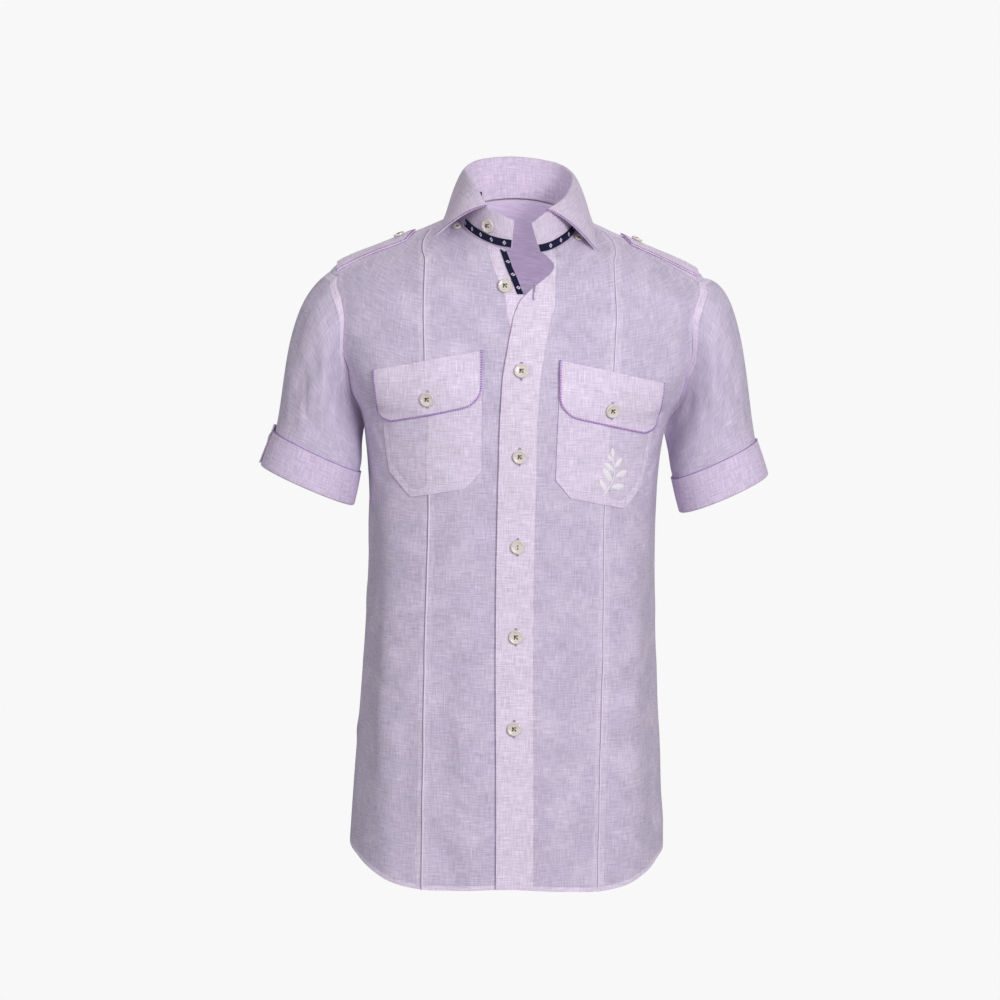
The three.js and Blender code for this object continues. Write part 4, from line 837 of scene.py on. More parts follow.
class Shader:
    """A node tree with short ways to add nodes and join them."""

    def __init__(self, tree: bpy.types.NodeTree) -> None:
        """Keeps the tree."""
        self.tree = tree

    def add(self, kind: str, *inputs: object, **settings: object) -> bpy.types.Node:
        """A new node with its settings, and its first inputs set or joined in order.

        Args:
            kind: The node's type.
            inputs: Sockets to join or values to set, None to leave one as it is.
            settings: Properties of the node.

        Returns:
            The node.
        """
        node = self.tree.nodes.new(kind)
        for name, value in settings.items():
            setattr(node, name, value)
        for socket, value in zip(node.inputs, inputs):
            self.feed(socket, value)
        return node

    def feed(self, socket: bpy.types.NodeSocket, value: object) -> None:
        """Joins a socket to another one, or sets its value."""
        if isinstance(value, bpy.types.NodeSocket):
            self.tree.links.new(value, socket)
        elif value is not None:
            socket.default_value = value

    def math(self, operation: str, *inputs: object) -> bpy.types.NodeSocket:
        """The result of a Math node."""
        return self.add("ShaderNodeMath", *inputs, operation=operation).outputs[0]

    def noise(
        self, vector: object, scale: tuple[float, float, float], detail: float
    ) -> bpy.types.NodeSocket:
        """Noise of 0 to 1 whose grains are 1 / scale long in each direction of the vector."""
        mapping = self.add("ShaderNodeMapping", vector)
        mapping.inputs["Scale"].default_value = scale
        noise = self.add("ShaderNodeTexNoise", mapping.outputs[0])
        noise.inputs["Scale"].default_value = 1.0
        noise.inputs["Detail"].default_value = detail
        return noise.outputs[0]

    def step(self, value: object, low: float, high: float) -> bpy.types.NodeSocket:
        """A smooth step from 0 at low to 1 at high, low above high allowed."""
        node = self.add("ShaderNodeMapRange", value, interpolation_type="SMOOTHSTEP")
        is_falling = low > high
        node.inputs["From Min"].default_value = min(low, high)
        node.inputs["From Max"].default_value = max(low, high)
        node.inputs["To Min"].default_value = 1.0 if is_falling else 0.0
        node.inputs["To Max"].default_value = 0.0 if is_falling else 1.0
        return node.outputs[0]

    def mix(self, share: object, first: object, second: object) -> bpy.types.NodeSocket:
        """A blend of two colours."""
        node = self.add("ShaderNodeMix", data_type="RGBA")
        for name, value in (("Factor_Float", share), ("A_Color", first), ("B_Color", second)):
            self.feed(next(s for s in node.inputs if s.identifier == name), value)
        return next(s for s in node.outputs if s.identifier == "Result_Color")

    def group(self, group: bpy.types.NodeTree, **inputs: object) -> bpy.types.Node:
        """A group node with its named inputs set or joined."""
        node = self.add("ShaderNodeGroup", node_tree=group)
        for name, value in inputs.items():
            self.feed(node.inputs[name], value)
        return node

    def surface(self, colour: object, normal: object, **values: object) -> bpy.types.Node:
        """Ends a material with a Principled shader.

        Args:
            colour: Base colour.
            normal: Normal or None.
            values: Plain values by the sockets' names, with _ for a space.

        Returns:
            The Principled node.
        """
        surface = self.add("ShaderNodeBsdfPrincipled")
        self.feed(surface.inputs["Base Color"], colour)
        self.feed(surface.inputs["Normal"], normal)
        for name, value in values.items():
            self.feed(surface.inputs[name.replace("_", " ")], value)
        output = self.add("ShaderNodeOutputMaterial")
        self.tree.links.new(surface.outputs[0], output.inputs[0])
        return surface


class Finish:
    """A material that is made once and then shared."""

    name: str

    def build(self, shader: Shader) -> None:
        """Fills the material's node tree."""
        raise NotImplementedError

    def material(self) -> bpy.types.Material:
        """The material, made on first use."""
        known = bpy.data.materials.get(self.name)
        if known:
            return known
        made = bpy.data.materials.new(self.name)
        made.use_nodes = True
        made.node_tree.nodes.clear()
        self.build(Shader(made.node_tree))
        return made


def linen_weave() -> bpy.types.NodeTree:
    """The weave of linen: streaks of uneven threads both ways, slubs where a thread swells, and
    the over and under of single threads.

    Returns:
        A group from Vector in metres to Tone, about 1, and Height of 0 to 1.
    """
    known = bpy.data.node_groups.get("linen weave")
    if known:
        return known
    group = bpy.data.node_groups.new("linen weave", "ShaderNodeTree")
    group.interface.new_socket("Vector", in_out="INPUT", socket_type="NodeSocketVector")
    group.interface.new_socket("Tone", in_out="OUTPUT", socket_type="NodeSocketFloat")
    group.interface.new_socket("Height", in_out="OUTPUT", socket_type="NodeSocketFloat")
    shader = Shader(group)
    vector = shader.add("NodeGroupInput").outputs[0]
    warp = shader.noise(vector, (760, 64, 1), 3)
    weft = shader.noise(vector, (64, 760, 1), 3)
    warp_slub = shader.step(shader.noise(vector, (520, 60, 1), 1), 0.58, 0.70)
    weft_slub = shader.step(shader.noise(vector, (60, 520, 1), 1), 0.58, 0.70)
    cloud = shader.noise(vector, (30, 30, 1), 3)
    streaks = shader.math("ADD", shader.math("MULTIPLY", shader.math("SUBTRACT", warp, 0.5), 0.62),
                          shader.math("MULTIPLY", shader.math("SUBTRACT", weft, 0.5), 0.66))
    slubs = shader.math("ADD", shader.math("MULTIPLY", warp_slub, 0.07),
                        shader.math("MULTIPLY", weft_slub, 0.10))
    clouds = shader.math("MULTIPLY", shader.math("SUBTRACT", cloud, 0.5), 0.16)
    tone = shader.math("ADD", shader.math("ADD", streaks, slubs), shader.math("ADD", clouds, 0.985))
    split = shader.add("ShaderNodeSeparateXYZ", vector)
    pitch = 2 * math.pi / 0.0009
    over = shader.math("SINE", shader.math("MULTIPLY", split.outputs[0], pitch))
    under = shader.math("SINE", shader.math("MULTIPLY", split.outputs[1], pitch))
    thread = shader.math("MULTIPLY", shader.math("MULTIPLY", over, under), 0.18)
    height = shader.math("ADD", shader.math("ADD", thread, shader.math("MULTIPLY", streaks, 1.2)),
                         shader.math("ADD", shader.math("MULTIPLY", slubs, 3.0), 0.5))
    output = shader.add("NodeGroupOutput")
    shader.feed(output.inputs["Tone"], tone)
    shader.feed(output.inputs["Height"], height)
    return group


@dataclass(frozen=True)
class LinenFinish(Finish):
    """Lilac linen, greyer where one layer thick and pinker where two."""

    name: str
    single: Colour
    double: Colour
    turned: float = 0.0
    bump: float = 0.00022

    def build(self, shader: Shader) -> None:
        """Colour is the single or double layer's times the weave's tone, darkened by painted shade
        in the last mm at the sewn joins.
        """
        uv = shader.add("ShaderNodeUVMap", uv_map="cloth").outputs[0]
        mapping = shader.add("ShaderNodeMapping", uv)
        mapping.inputs["Rotation"].default_value = (0, 0, math.radians(self.turned))
        weave = shader.group(linen_weave(), Vector=mapping.outputs[0])
        single = shader.add("ShaderNodeAttribute", attribute_name="single").outputs["Fac"]
        seam = shader.add("ShaderNodeAttribute", attribute_name="seam").outputs["Fac"]
        is_double = shader.step(single, 0.0004, -0.0004)
        patch = shader.step(shader.noise(uv, (24, 24, 1), 2), 0.42, 0.66)
        cloudy = shader.mix(shader.math("MULTIPLY", patch, 0.35), self.single, self.double)
        colour = shader.mix(is_double, cloudy, self.double)
        allowance = shader.math("MULTIPLY", shader.step(seam, 0.0072, 0.0062), 0.35)
        colour = shader.mix(allowance, colour, self.double)
        border = shader.math("ABSOLUTE", single)
        line = shader.math("MULTIPLY", shader.step(border, 0.0012, 0.0002), 0.10)
        # Painted shade: 22% darker within about 1 mm of a sewn join.
        seam_shade = shader.math("MULTIPLY", shader.step(seam, 0.0011, 0.0001), 0.22)
        shade = shader.math("SUBTRACT", 1.0, shader.math("ADD", line, seam_shade))
        tone = shader.math("MULTIPLY", weave.outputs["Tone"], shade)
        tinted = shader.add("ShaderNodeVectorMath", colour, operation="SCALE")
        shader.feed(tinted.inputs["Scale"], tone)
        pucker = shader.noise(uv, (160, 160, 1), 1)
        puckered = shader.math("MULTIPLY", pucker, shader.step(seam, 0.012, 0.002))
        raised = shader.math("MULTIPLY", is_double, 0.8)
        height = shader.math("ADD", weave.outputs["Height"],
                             shader.math("ADD", raised, shader.math("MULTIPLY", puckered, 2.0)))
        bump = shader.add("ShaderNodeBump")
        bump.inputs["Strength"].default_value = 0.7
        bump.inputs["Distance"].default_value = self.bump
        shader.feed(bump.inputs["Height"], height)
        shader.surface(tinted.outputs[0], bump.outputs[0], Roughness=0.88,
                       Specular_IOR_Level=0.25, Sheen_Weight=0.18, Sheen_Roughness=0.5)


@dataclass(frozen=True)
class TapeFinish(Finish):
    """Dark ribbed tape with a row of small pale diamonds."""

    name: str
    dark: Colour
    pale: Colour
    pitch: float = 0.016
    width: float = 0.0085
    has_marks: bool = True

    def build(self, shader: Shader) -> None:
        """A rib every 0.9 mm along, and a hollow diamond every pitch in its middle line."""
        uv = shader.add("ShaderNodeUVMap", uv_map="cloth").outputs[0]
        split = shader.add("ShaderNodeSeparateXYZ", uv)
        rib = shader.math("SINE", shader.math("MULTIPLY", split.outputs[0], 2 * math.pi / 0.0009))
        grain = shader.noise(uv, (900, 900, 1), 2)
        colour = shader.mix(shader.math("MULTIPLY", grain, 0.3), self.dark, srgb(40, 40, 92))
        if self.has_marks:
            turns = shader.math("DIVIDE", split.outputs[0], self.pitch)
            spot = shader.math("SUBTRACT", shader.math("FRACT", turns), 0.5)
            along = shader.math("ABSOLUTE", shader.math("MULTIPLY", spot, self.pitch))
            middle = shader.math("SUBTRACT", split.outputs[1], self.width / 2)
            across = shader.math("ABSOLUTE", middle)
            diamond = shader.math("ADD", along, shader.math("MULTIPLY", across, 0.8))
            mark = shader.step(diamond, 0.0024, 0.0018)
            hollow = shader.step(diamond, 0.0006, 0.0011)
            colour = shader.mix(shader.math("MULTIPLY", mark, hollow), colour, self.pale)
        bump = shader.add("ShaderNodeBump")
        bump.inputs["Strength"].default_value = 0.6
        bump.inputs["Distance"].default_value = 0.00025
        shader.feed(bump.inputs["Height"], rib)
        shader.surface(colour, bump.outputs[0], Roughness=0.8, Specular_IOR_Level=0.3)


@dataclass(frozen=True)
class ThreadFinish(Finish):
    """One colour with a fine grain, for threads and for painted shade: the dark of a button's
    holes, of a buttonhole's slit and the line beside a welt.
    """

    name: str
    colour: Colour
    roughness: float = 0.7
    depth: float = 0.4

    def build(self, shader: Shader) -> None:
        """The colour, darkened by up to the depth in a grain of 0.4 mm that is also the bump."""
        place = shader.add("ShaderNodeTexCoord").outputs["Object"]
        grain = shader.noise(place, (2400, 2400, 2400), 2)
        red, green, blue, _ = (part * (1 - self.depth) for part in self.colour)
        bump = shader.add("ShaderNodeBump")
        bump.inputs["Distance"].default_value = 0.0002
        shader.feed(bump.inputs["Height"], grain)
        shader.surface(shader.mix(grain, self.colour, (red, green, blue, 1.0)),
                       bump.outputs[0], Roughness=self.roughness, Sheen_Weight=0.2)


@dataclass(frozen=True)
class ShellFinish(Finish):
    """Cream mother-of-pearl with soft patches towards pink and green under a clear coat."""

    name: str
    cream: Colour
    pink: Colour
    green: Colour

    def build(self, shader: Shader) -> None:
        """Two long-grained noises blend the cream towards the pink and the green."""
        place = shader.add("ShaderNodeTexCoord").outputs["Object"]
        first = shader.step(shader.noise(place, (330, 90, 180), 2), 0.4, 0.7)
        second = shader.step(shader.noise(place, (110, 210, 390), 2), 0.45, 0.75)
        colour = shader.mix(first, self.cream, self.pink)
        colour = shader.mix(shader.math("MULTIPLY", second, 0.7), colour, self.green)
        shader.surface(colour, None, Roughness=0.28, Coat_Weight=0.5, Coat_Roughness=0.1)


LINEN = LinenFinish("lilac linen", srgb(202, 191, 215), srgb(229, 214, 236))
LINEN_TURNED = LinenFinish(
    "lilac linen on the cross", srgb(202, 191, 215), srgb(228, 213, 236), 90)
POCKET_LINEN = LinenFinish("lilac pocket linen", srgb(214, 201, 225), srgb(226, 212, 235))
CUFF_LINEN = LinenFinish("lilac cuff linen", srgb(214, 198, 224), srgb(218, 201, 229), 90)
COLLAR_LINEN = LinenFinish("lilac collar linen", srgb(214, 200, 221), srgb(219, 204, 226), 90)
TAPE = TapeFinish("dark woven tape", srgb(14, 14, 50), srgb(222, 216, 232))
PLAIN_TAPE = TapeFinish("dark tab", srgb(30, 26, 56), srgb(222, 216, 232), has_marks=False)
PURPLE_THREAD = ThreadFinish("purple thread", srgb(158, 84, 196), depth=0.25)
WELT = ThreadFinish("welt linen", srgb(240, 228, 246), 0.85, 0.1)
LILAC_THREAD = ThreadFinish("lilac thread", srgb(190, 172, 206))
PALE_THREAD = ThreadFinish("pale thread", srgb(232, 224, 238))
# Dark thread of the buttons, also used for the painted shade in the buttonhole slits.
DARK_THREAD_AND_SLIT_SHADE = ThreadFinish("dark thread and slit shade", srgb(58, 36, 74))
# Painted shadow: a dark lilac for the line beside each welt, always on its -X side.
WELT_SHADOW = ThreadFinish("painted welt shadow", srgb(150, 132, 172))
# Painted shade of a button's holes, laid on the face as flat dark discs.
HOLE_SHADE = ThreadFinish("hole", srgb(70, 60, 66), 1.0, 0.2)
WHITE_SATIN = ThreadFinish("white satin thread", srgb(246, 243, 248), 0.45, 0.12)
SHELL = ShellFinish("shell", srgb(226, 218, 208), srgb(228, 204, 206), srgb(206, 214, 204))


def capped_faces(rings: int, sides: int) -> list[Array]:
    """Faces of rings that a pole at each end closes; the two poles' numbers follow the rings'.

    Args:
        rings: How many rings.
        sides: Points of a ring.

    Returns:
        The quads and the triangles.
    """
    index = np.arange(rings * sides).reshape(rings, sides)
    index = np.concatenate([index, index[:, :1]], axis=1)
    quads = np.stack([index[:-1, :-1], index[:-1, 1:], index[1:, 1:], index[1:, :-1]], axis=-1)
    pole = np.full(sides, rings * sides)
    fans = np.concatenate([np.stack([pole, index[0, 1:], index[0, :-1]], axis=-1),
                           np.stack([pole + 1, index[-1, :-1], index[-1, 1:]], axis=-1)])
    return [quads.reshape(-1, 4), fans]


class Parts:
    """Many small closed forms gathered into one piece."""

    BEAD_RINGS = 5
    BEAD_SIDES = 7

    def __init__(self) -> None:
        """Starts empty."""
        self.points: list[Array] = []
        self.faces: list[Array] = []
        self.count = 0

    def add(self, points: Array, faces: list[Array]) -> None:
        """Adds points and the faces that number them."""
        self.points.append(points.reshape(-1, 3))
        self.faces += [part + self.count for part in faces]
        self.count += len(self.points[-1])

    def rings(self, points: Array, first: Array, last: Array) -> None:
        """Adds a form of rings closed by a pole at each end, with the rings turning about the
        way from the first pole to the last.

        Args:
            points: (rings, sides, 3) points.
            first: Point of the first pole.
            last: Point of the last pole.
        """
        whole = np.concatenate([points.reshape(-1, 3), [first, last]])
        self.add(whole, capped_faces(*points.shape[:2]))

    def beads(
        self, centres: Array, along: Array, across: Array, out: Array, lens: float = 0.5
    ) -> None:
        """Adds a bead at each centre: rings of radius (1 - t^2)^lens at t of its long half axis.

        Args:
            centres: (n, 3) points.
            along: (n, 3) long half axes.
            across: (n, 3) half axes along the cloth.
            out: (n, 3) half axes off the cloth.
            lens: 0.5 for round ends, near 1 for pointed ones.
        """
        t = -np.cos(np.linspace(0, np.pi, self.BEAD_RINGS + 2)[1:-1])[:, None]
        angle = np.linspace(0, 2 * np.pi, self.BEAD_SIDES + 1)[None, :-1]
        radius = (1 - t**2) ** lens
        form = np.stack(np.broadcast_arrays(t, radius * np.cos(angle), radius * np.sin(angle)), -1)
        form = np.concatenate([form.reshape(-1, 3), [[-1, 0, 0], [1, 0, 0]]])
        hand = np.einsum("nx,nx->n", np.cross(along, across), out)
        axes = np.stack([along, across * np.sign(hand)[:, None], out], axis=1)
        points = centres[:, None] + np.einsum("mk,nkx->nmx", form, axes)
        quads, fans = capped_faces(self.BEAD_RINGS, self.BEAD_SIDES)
        starts = len(form) * np.arange(len(centres))[:, None, None]
        self.add(points, [(quads + starts).reshape(-1, 4), (fans + starts).reshape(-1, 3)])

    def tube(self, path: Array, out: Array, radius: float, sides: int = 6) -> None:
        """Adds a round thread along a path, its rings square to the path.

        Args:
            path: (n, 3) points.
            out: (n, 3) ways off the cloth.
            radius: Radius in mm.
            sides: Corners of a ring.
        """
        tip = 0.6
        run = unit(np.gradient(path, axis=0))
        across = unit(np.cross(out, run))
        angle = np.linspace(0, 2 * np.pi, sides + 1)[None, :-1, None]
        up = np.cross(run, across)
        ring = np.cos(angle) * across[:, None] + np.sin(angle) * up[:, None]
        ends = radius * tip * run
        self.rings(path[:, None] + radius * ring, path[0] - ends[0], path[-1] + ends[-1])

    def piece(self, name: str, finish: Finish, slot: Slot, nodes: tuple[str, ...] = ()) -> None:
        """Makes the gathered forms into one piece."""
        dress(new_mesh(name, np.concatenate(self.points), self.faces), finish, nodes)


def paced(line: Array, out: Array, pitch: float) -> tuple[Array, Array]:
    """Points about a pitch apart along a line, and the ways out there.

    Args:
        line: (n, 3) points.
        out: (n, 3) unit vectors.
        pitch: Wanted distance in mm.

    Returns:
        (m, 3) points and unit vectors.
    """
    length = lengths_along(line)
    wanted = np.linspace(0, length[-1], max(2, round(length[-1] / pitch)))
    return read_rows(line, length, wanted), unit(read_rows(out, length, wanted))


def round_border(values: Array) -> Array:
    """The first column downwards, the first row and the last column upwards, as one line."""
    return np.concatenate([values[::-1, 0], values[0, 1:], values[1:, -1]])


@dataclass(frozen=True)
class Stitch:
    """A row's pitch and its stitches' half length, half width and half height, in mm."""

    pitch: float
    length: float
    width: float
    height: float


OVERCAST = Stitch(1.9, 1.4, 0.6, 0.45)
HOLE_STITCH = Stitch(0.9, 0.75, 0.42, 0.35)
CUFF_STITCH = Stitch(1.5, 0.85, 0.4, 0.3)
STRAP_STITCH = Stitch(2.4, 0.85, 0.4, 0.3)


class Sewing:
    """What is sewn on: overcast edges, stitches, buttonholes, welts and button threads, and the
    painted shade that goes with them: the dark of the button holes and the buttonhole slits, and a
    dark line beside each welt.
    """

    SLIT_HALF = 1.1
    # Radius of the dark tube of painted shade in a buttonhole's slit.
    SLIT_SHADE_RADIUS = 0.22
    SLIT_ENDS = 2.0
    SLIT_DEPTH = 0.1

    def __init__(self) -> None:
        """Starts one gathering for each kind of thread."""
        self.purple = Parts()
        self.lilac = Parts()
        self.pale = Parts()
        # Dark thread, and the painted shade of the buttonhole slits.
        self.dark = Parts()
        # Flat dark discs of painted shade in the buttons' holes.
        self.holes = Parts()
        self.white = Parts()
        self.welts = Parts()
        # Dark lines of painted shadow beside the welts.
        self.shadow = Parts()

    def overcast(self, line: Array, out: Array, inner: Array) -> None:
        """Adds stitches over an edge, each square to it and for the most part inside it.

        Args:
            line: (n, 3) points of the edge, on the outer side.
            out: (n, 3) ways out there.
            inner: A point inside the piece.
        """
        line, out = paced(line, out, OVERCAST.pitch)
        run = unit(np.gradient(line, axis=0))
        inward = unit(np.cross(out, run))
        inward *= np.sign(np.einsum("nx,nx->n", inward, inner - line).mean())
        self.purple.beads(line + inward * OVERCAST.length / 2, inward * OVERCAST.length,
                          run * OVERCAST.width, out * OVERCAST.height)

    def running(self, parts: Parts, line: Array, out: Array, stitch: Stitch) -> None:
        """Adds a row of stitches along a line."""
        line, out = paced(line, out, stitch.pitch)
        run = unit(np.gradient(line, axis=0))
        parts.beads(line, run * stitch.length, unit(np.cross(out, run)) * stitch.width,
                    out * stitch.height)

    def buttonhole(self, side: Side, x: float, z: float, length: float, off: float) -> None:
        """Adds a stadium of thread upright on a front, with a dark tube of painted shade along its
        slit.
        """
        angle = np.linspace(0, 2 * np.pi, 41)
        cosine = np.cos(angle)
        sine = np.sin(angle)
        straight = np.sign(sine) * (length / 2 - self.SLIT_HALF)
        flat = np.stack([x + self.SLIT_HALF * cosine, z + self.SLIT_HALF * sine + straight], -1)
        line, out = paced(*on_front(side, flat, off), HOLE_STITCH.pitch)
        run = unit(np.gradient(line, axis=0))
        self.lilac.beads(line, unit(np.cross(out, run)) * HOLE_STITCH.length,
                         run * HOLE_STITCH.width, out * HOLE_STITCH.height)
        share = np.linspace(-0.5, 0.5, 12)
        slit = np.stack([np.full(12, x), z + share * (length - self.SLIT_ENDS)], axis=-1)
        line, out = on_front(side, slit, off - self.SLIT_DEPTH)
        # Painted shade in the slit: a dark tube just under the stitches.
        self.dark.tube(line, out, self.SLIT_SHADE_RADIUS)

    def build(self) -> None:
        """Makes the pieces."""
        for name, parts, finish, slot in (
            ("overcast_thread", self.purple, PURPLE_THREAD, Slot.DOUBLE),
            ("buttonhole_thread", self.lilac, LILAC_THREAD, Slot.DOUBLE),
            ("stitch_thread", self.pale, PALE_THREAD, Slot.DOUBLE),
            # Dark thread, and the buttonhole slits' painted shade.
            ("button_thread_and_slit_shade", self.dark, DARK_THREAD_AND_SLIT_SHADE, Slot.SHELL),
            # Painted shade of the button holes.
            ("button_hole_shade", self.holes, HOLE_SHADE, Slot.SHELL),
            ("sprig", self.white, WHITE_SATIN, Slot.DOUBLE),
            ("seam_welts", self.welts, WELT, Slot.LINEN),
            # Painted shadow beside the welts.
            ("welt_shadow_lines", self.shadow, WELT_SHADOW, Slot.LINEN),
        ):
            parts.piece(name, finish, slot)


@dataclass(frozen=True)
class ButtonSize:
    """A button's radius and height in mm."""

    radius: float
    height: float


LARGE = ButtonSize(8.0, 3.0)
MEDIUM = ButtonSize(6.5, 2.6)
SMALL = ButtonSize(4.8, 2.2)
BUTTON_GAP = 0.4


@dataclass
class Button:
    """A shell button with a raised rim round a six-sided hollow, its holes as flat dark discs of
    painted shade, and its thread.
    """

    name: str
    size: ButtonSize
    at: Array
    out: Array
    holes: int = 4
    has_thread: bool = True
    profile: tuple[tuple[float, float, float], ...] = (
        (0.9, 0, 0), (0.97, 0.12, 0), (1, 0.4, 0), (0.985, 0.72, 0), (0.95, 0.93, 0),
        (0.89, 1.0, 0), (0.82, 0.98, 0.4), (0.76, 0.88, 1), (0.7, 0.8, 1), (0.35, 0.78, 0.4),
    )
    sides: int = 48
    hollow_width: float = 0.95
    hollow_height: float = 0.78
    hole_place: float = 0.2
    hole_radius: float = 0.115
    hole_depth: float = 0.1
    strand_radius: float = 0.05
    strand_rise: float = 0.55
    stem_radius: float = 0.14
    stem: tuple[float, float] = (-0.9, 0.3)

    def build(self, sewing: Sewing) -> None:
        """Makes the button: rings of its profile, the hollow's drawn to a soft hexagon by
        1 / cos of the angle from the middle of each sixth, and a strand from one hole to each
        of the others."""
        upright = np.array([0, 1.0, 0]) if abs(self.out[2]) > 0.8 else np.array([0, 0, 1.0])
        right = unit(np.cross(upright, self.out))
        up = np.cross(self.out, right)
        radius, height, hexed = (np.array(column)[:, None] for column in zip(*self.profile))
        angle = np.linspace(0, 2 * np.pi, self.sides + 1)[None, :-1]
        sixth = np.abs((angle % (np.pi / 3)) - np.pi / 6)
        hexagon = self.hollow_width / np.cos(sixth)
        wide = radius * (1 + hexed * (hexagon - 1)) * self.size.radius
        high = np.broadcast_to(height * self.size.height, wide.shape)
        points = (self.at + (wide * np.cos(angle))[..., None] * right
                  + (wide * np.sin(angle))[..., None] * up + high[..., None] * self.out)
        face = self.at + self.out * self.size.height * self.hollow_height
        parts = Parts()
        parts.rings(points, self.at, face)
        parts.piece(f"{self.name}_shell", SHELL, Slot.SHELL, (self.name,))
        corners = {2: ((0, 1), (0, -1)), 4: ((-1, 1), (1, 1), (1, -1), (-1, -1))}[self.holes]
        reach = np.array(corners) * self.hole_place * self.size.radius
        spots = face + (reach[:, :1] * right + reach[:, 1:] * up)
        hole = self.hole_radius * self.size.radius
        halves = (right * hole, up * hole, self.out * self.hole_depth)
        # The holes are flat dark discs on the face: painted shade.
        sewing.holes.beads(spots, *(np.tile(half, (self.holes, 1)) for half in halves))
        if self.has_thread:
            share = np.linspace(0, 1, 6)[:, None]
            for end in spots[1:]:
                line = spots[0] + (end - spots[0]) * share
                line = line + self.out * self.strand_rise * np.sin(np.pi * share)
                radius = self.strand_radius * self.size.radius
                sewing.dark.tube(line, np.tile(self.out, (len(line), 1)), radius)
        stem = self.at + self.out * np.linspace(*self.stem, 4)[:, None]
        radius = self.stem_radius * self.size.radius
        sewing.dark.tube(stem, np.tile(right, (len(stem), 1)), radius)


def seat(cloth: Callable[[Array], Array], place: Array) -> tuple[Array, Array]:
    """A button's seat: the point of a place, and the way out there from its neighbours.

    Args:
        cloth: Gives points for places.
        place: (2,) angle and level.

    Returns:
        The point and a unit vector.
    """
    turn = 3.0
    rise = 0.2
    steps = np.array([[0, 0], [turn, 0], [-turn, 0], [0, rise], [0, -rise]])
    at, right, left, up, down = cloth(place + steps)
    return at, unit(np.cross(right - left, up - down))


@dataclass(frozen=True)
class Front:
    """One front: its side, its free edge, its place in the lap and how its top rolls open."""

    side: Side
    edge: Rows
    lift: float
    roll: float
    facing: float

    def own_x(self, points: Array) -> Array:
        """Distance from the middle towards the front's own side."""
        return self.side.value * points[..., 0]

    def from_edge(self, places: Array, points: Array) -> Array:
        """Distance from the free edge, across the front."""
        return self.own_x(points) - self.side.value * rows_curve(self.edge, places[..., 1])

    def lift_at(self, places: Array) -> Array:
        """How far the front lies off the body: its place in the lap near the middle, and a
        roll outwards that fades from its open edge.

        Args:
            places: (..., 2) angles and levels.

        Returns:
            Lifts in mm.
        """
        points = BODY.point(places[..., 0], places[..., 1])
        lap = 1 - smooth(self.own_x(points), PLACKET_HALF, PLACKET_HALF + PLACKET_BLEND)
        near = 1 - smooth(self.from_edge(places, points), 0, LAPEL_WIDTH)
        level = places[..., 1]
        rise = smooth(level, LAPEL_FROM, LAPEL_MIDDLE) * (1 - smooth(level, LAPEL_MIDDLE, 10))
        return self.lift * lap + self.roll * near**2 * rise

    def cloth(self, places: Array, off: float = 0.0) -> tuple[Array, Array]:
        """Points and ways out at a distance off this front's cloth."""
        return BODY.cloth(places, self.lift_at(places) + off)


FRONTS = {
    Side.LEFT: Front(Side.LEFT, OVER_EDGE, 1.3, 9.0, 42.0),
    Side.RIGHT: Front(Side.RIGHT, UNDER_EDGE, -1.3, 3.0, 22.0),
}


def on_front(side: Side, flat: Array, off: Array | float) -> tuple[Array, Array]:
    """Points and ways out at a distance off one front, seen at given x and z.

    Args:
        side: Which front.
        flat: (..., 2) x and z in mm.
        off: Distance off the front's cloth.

    Returns:
        (..., 3) points and unit vectors.
    """
    points, out = FRONTS[side].cloth(BODY.place_on_front(flat[..., 0], flat[..., 1]))
    return points + out * np.asarray(off, float)[..., None], out


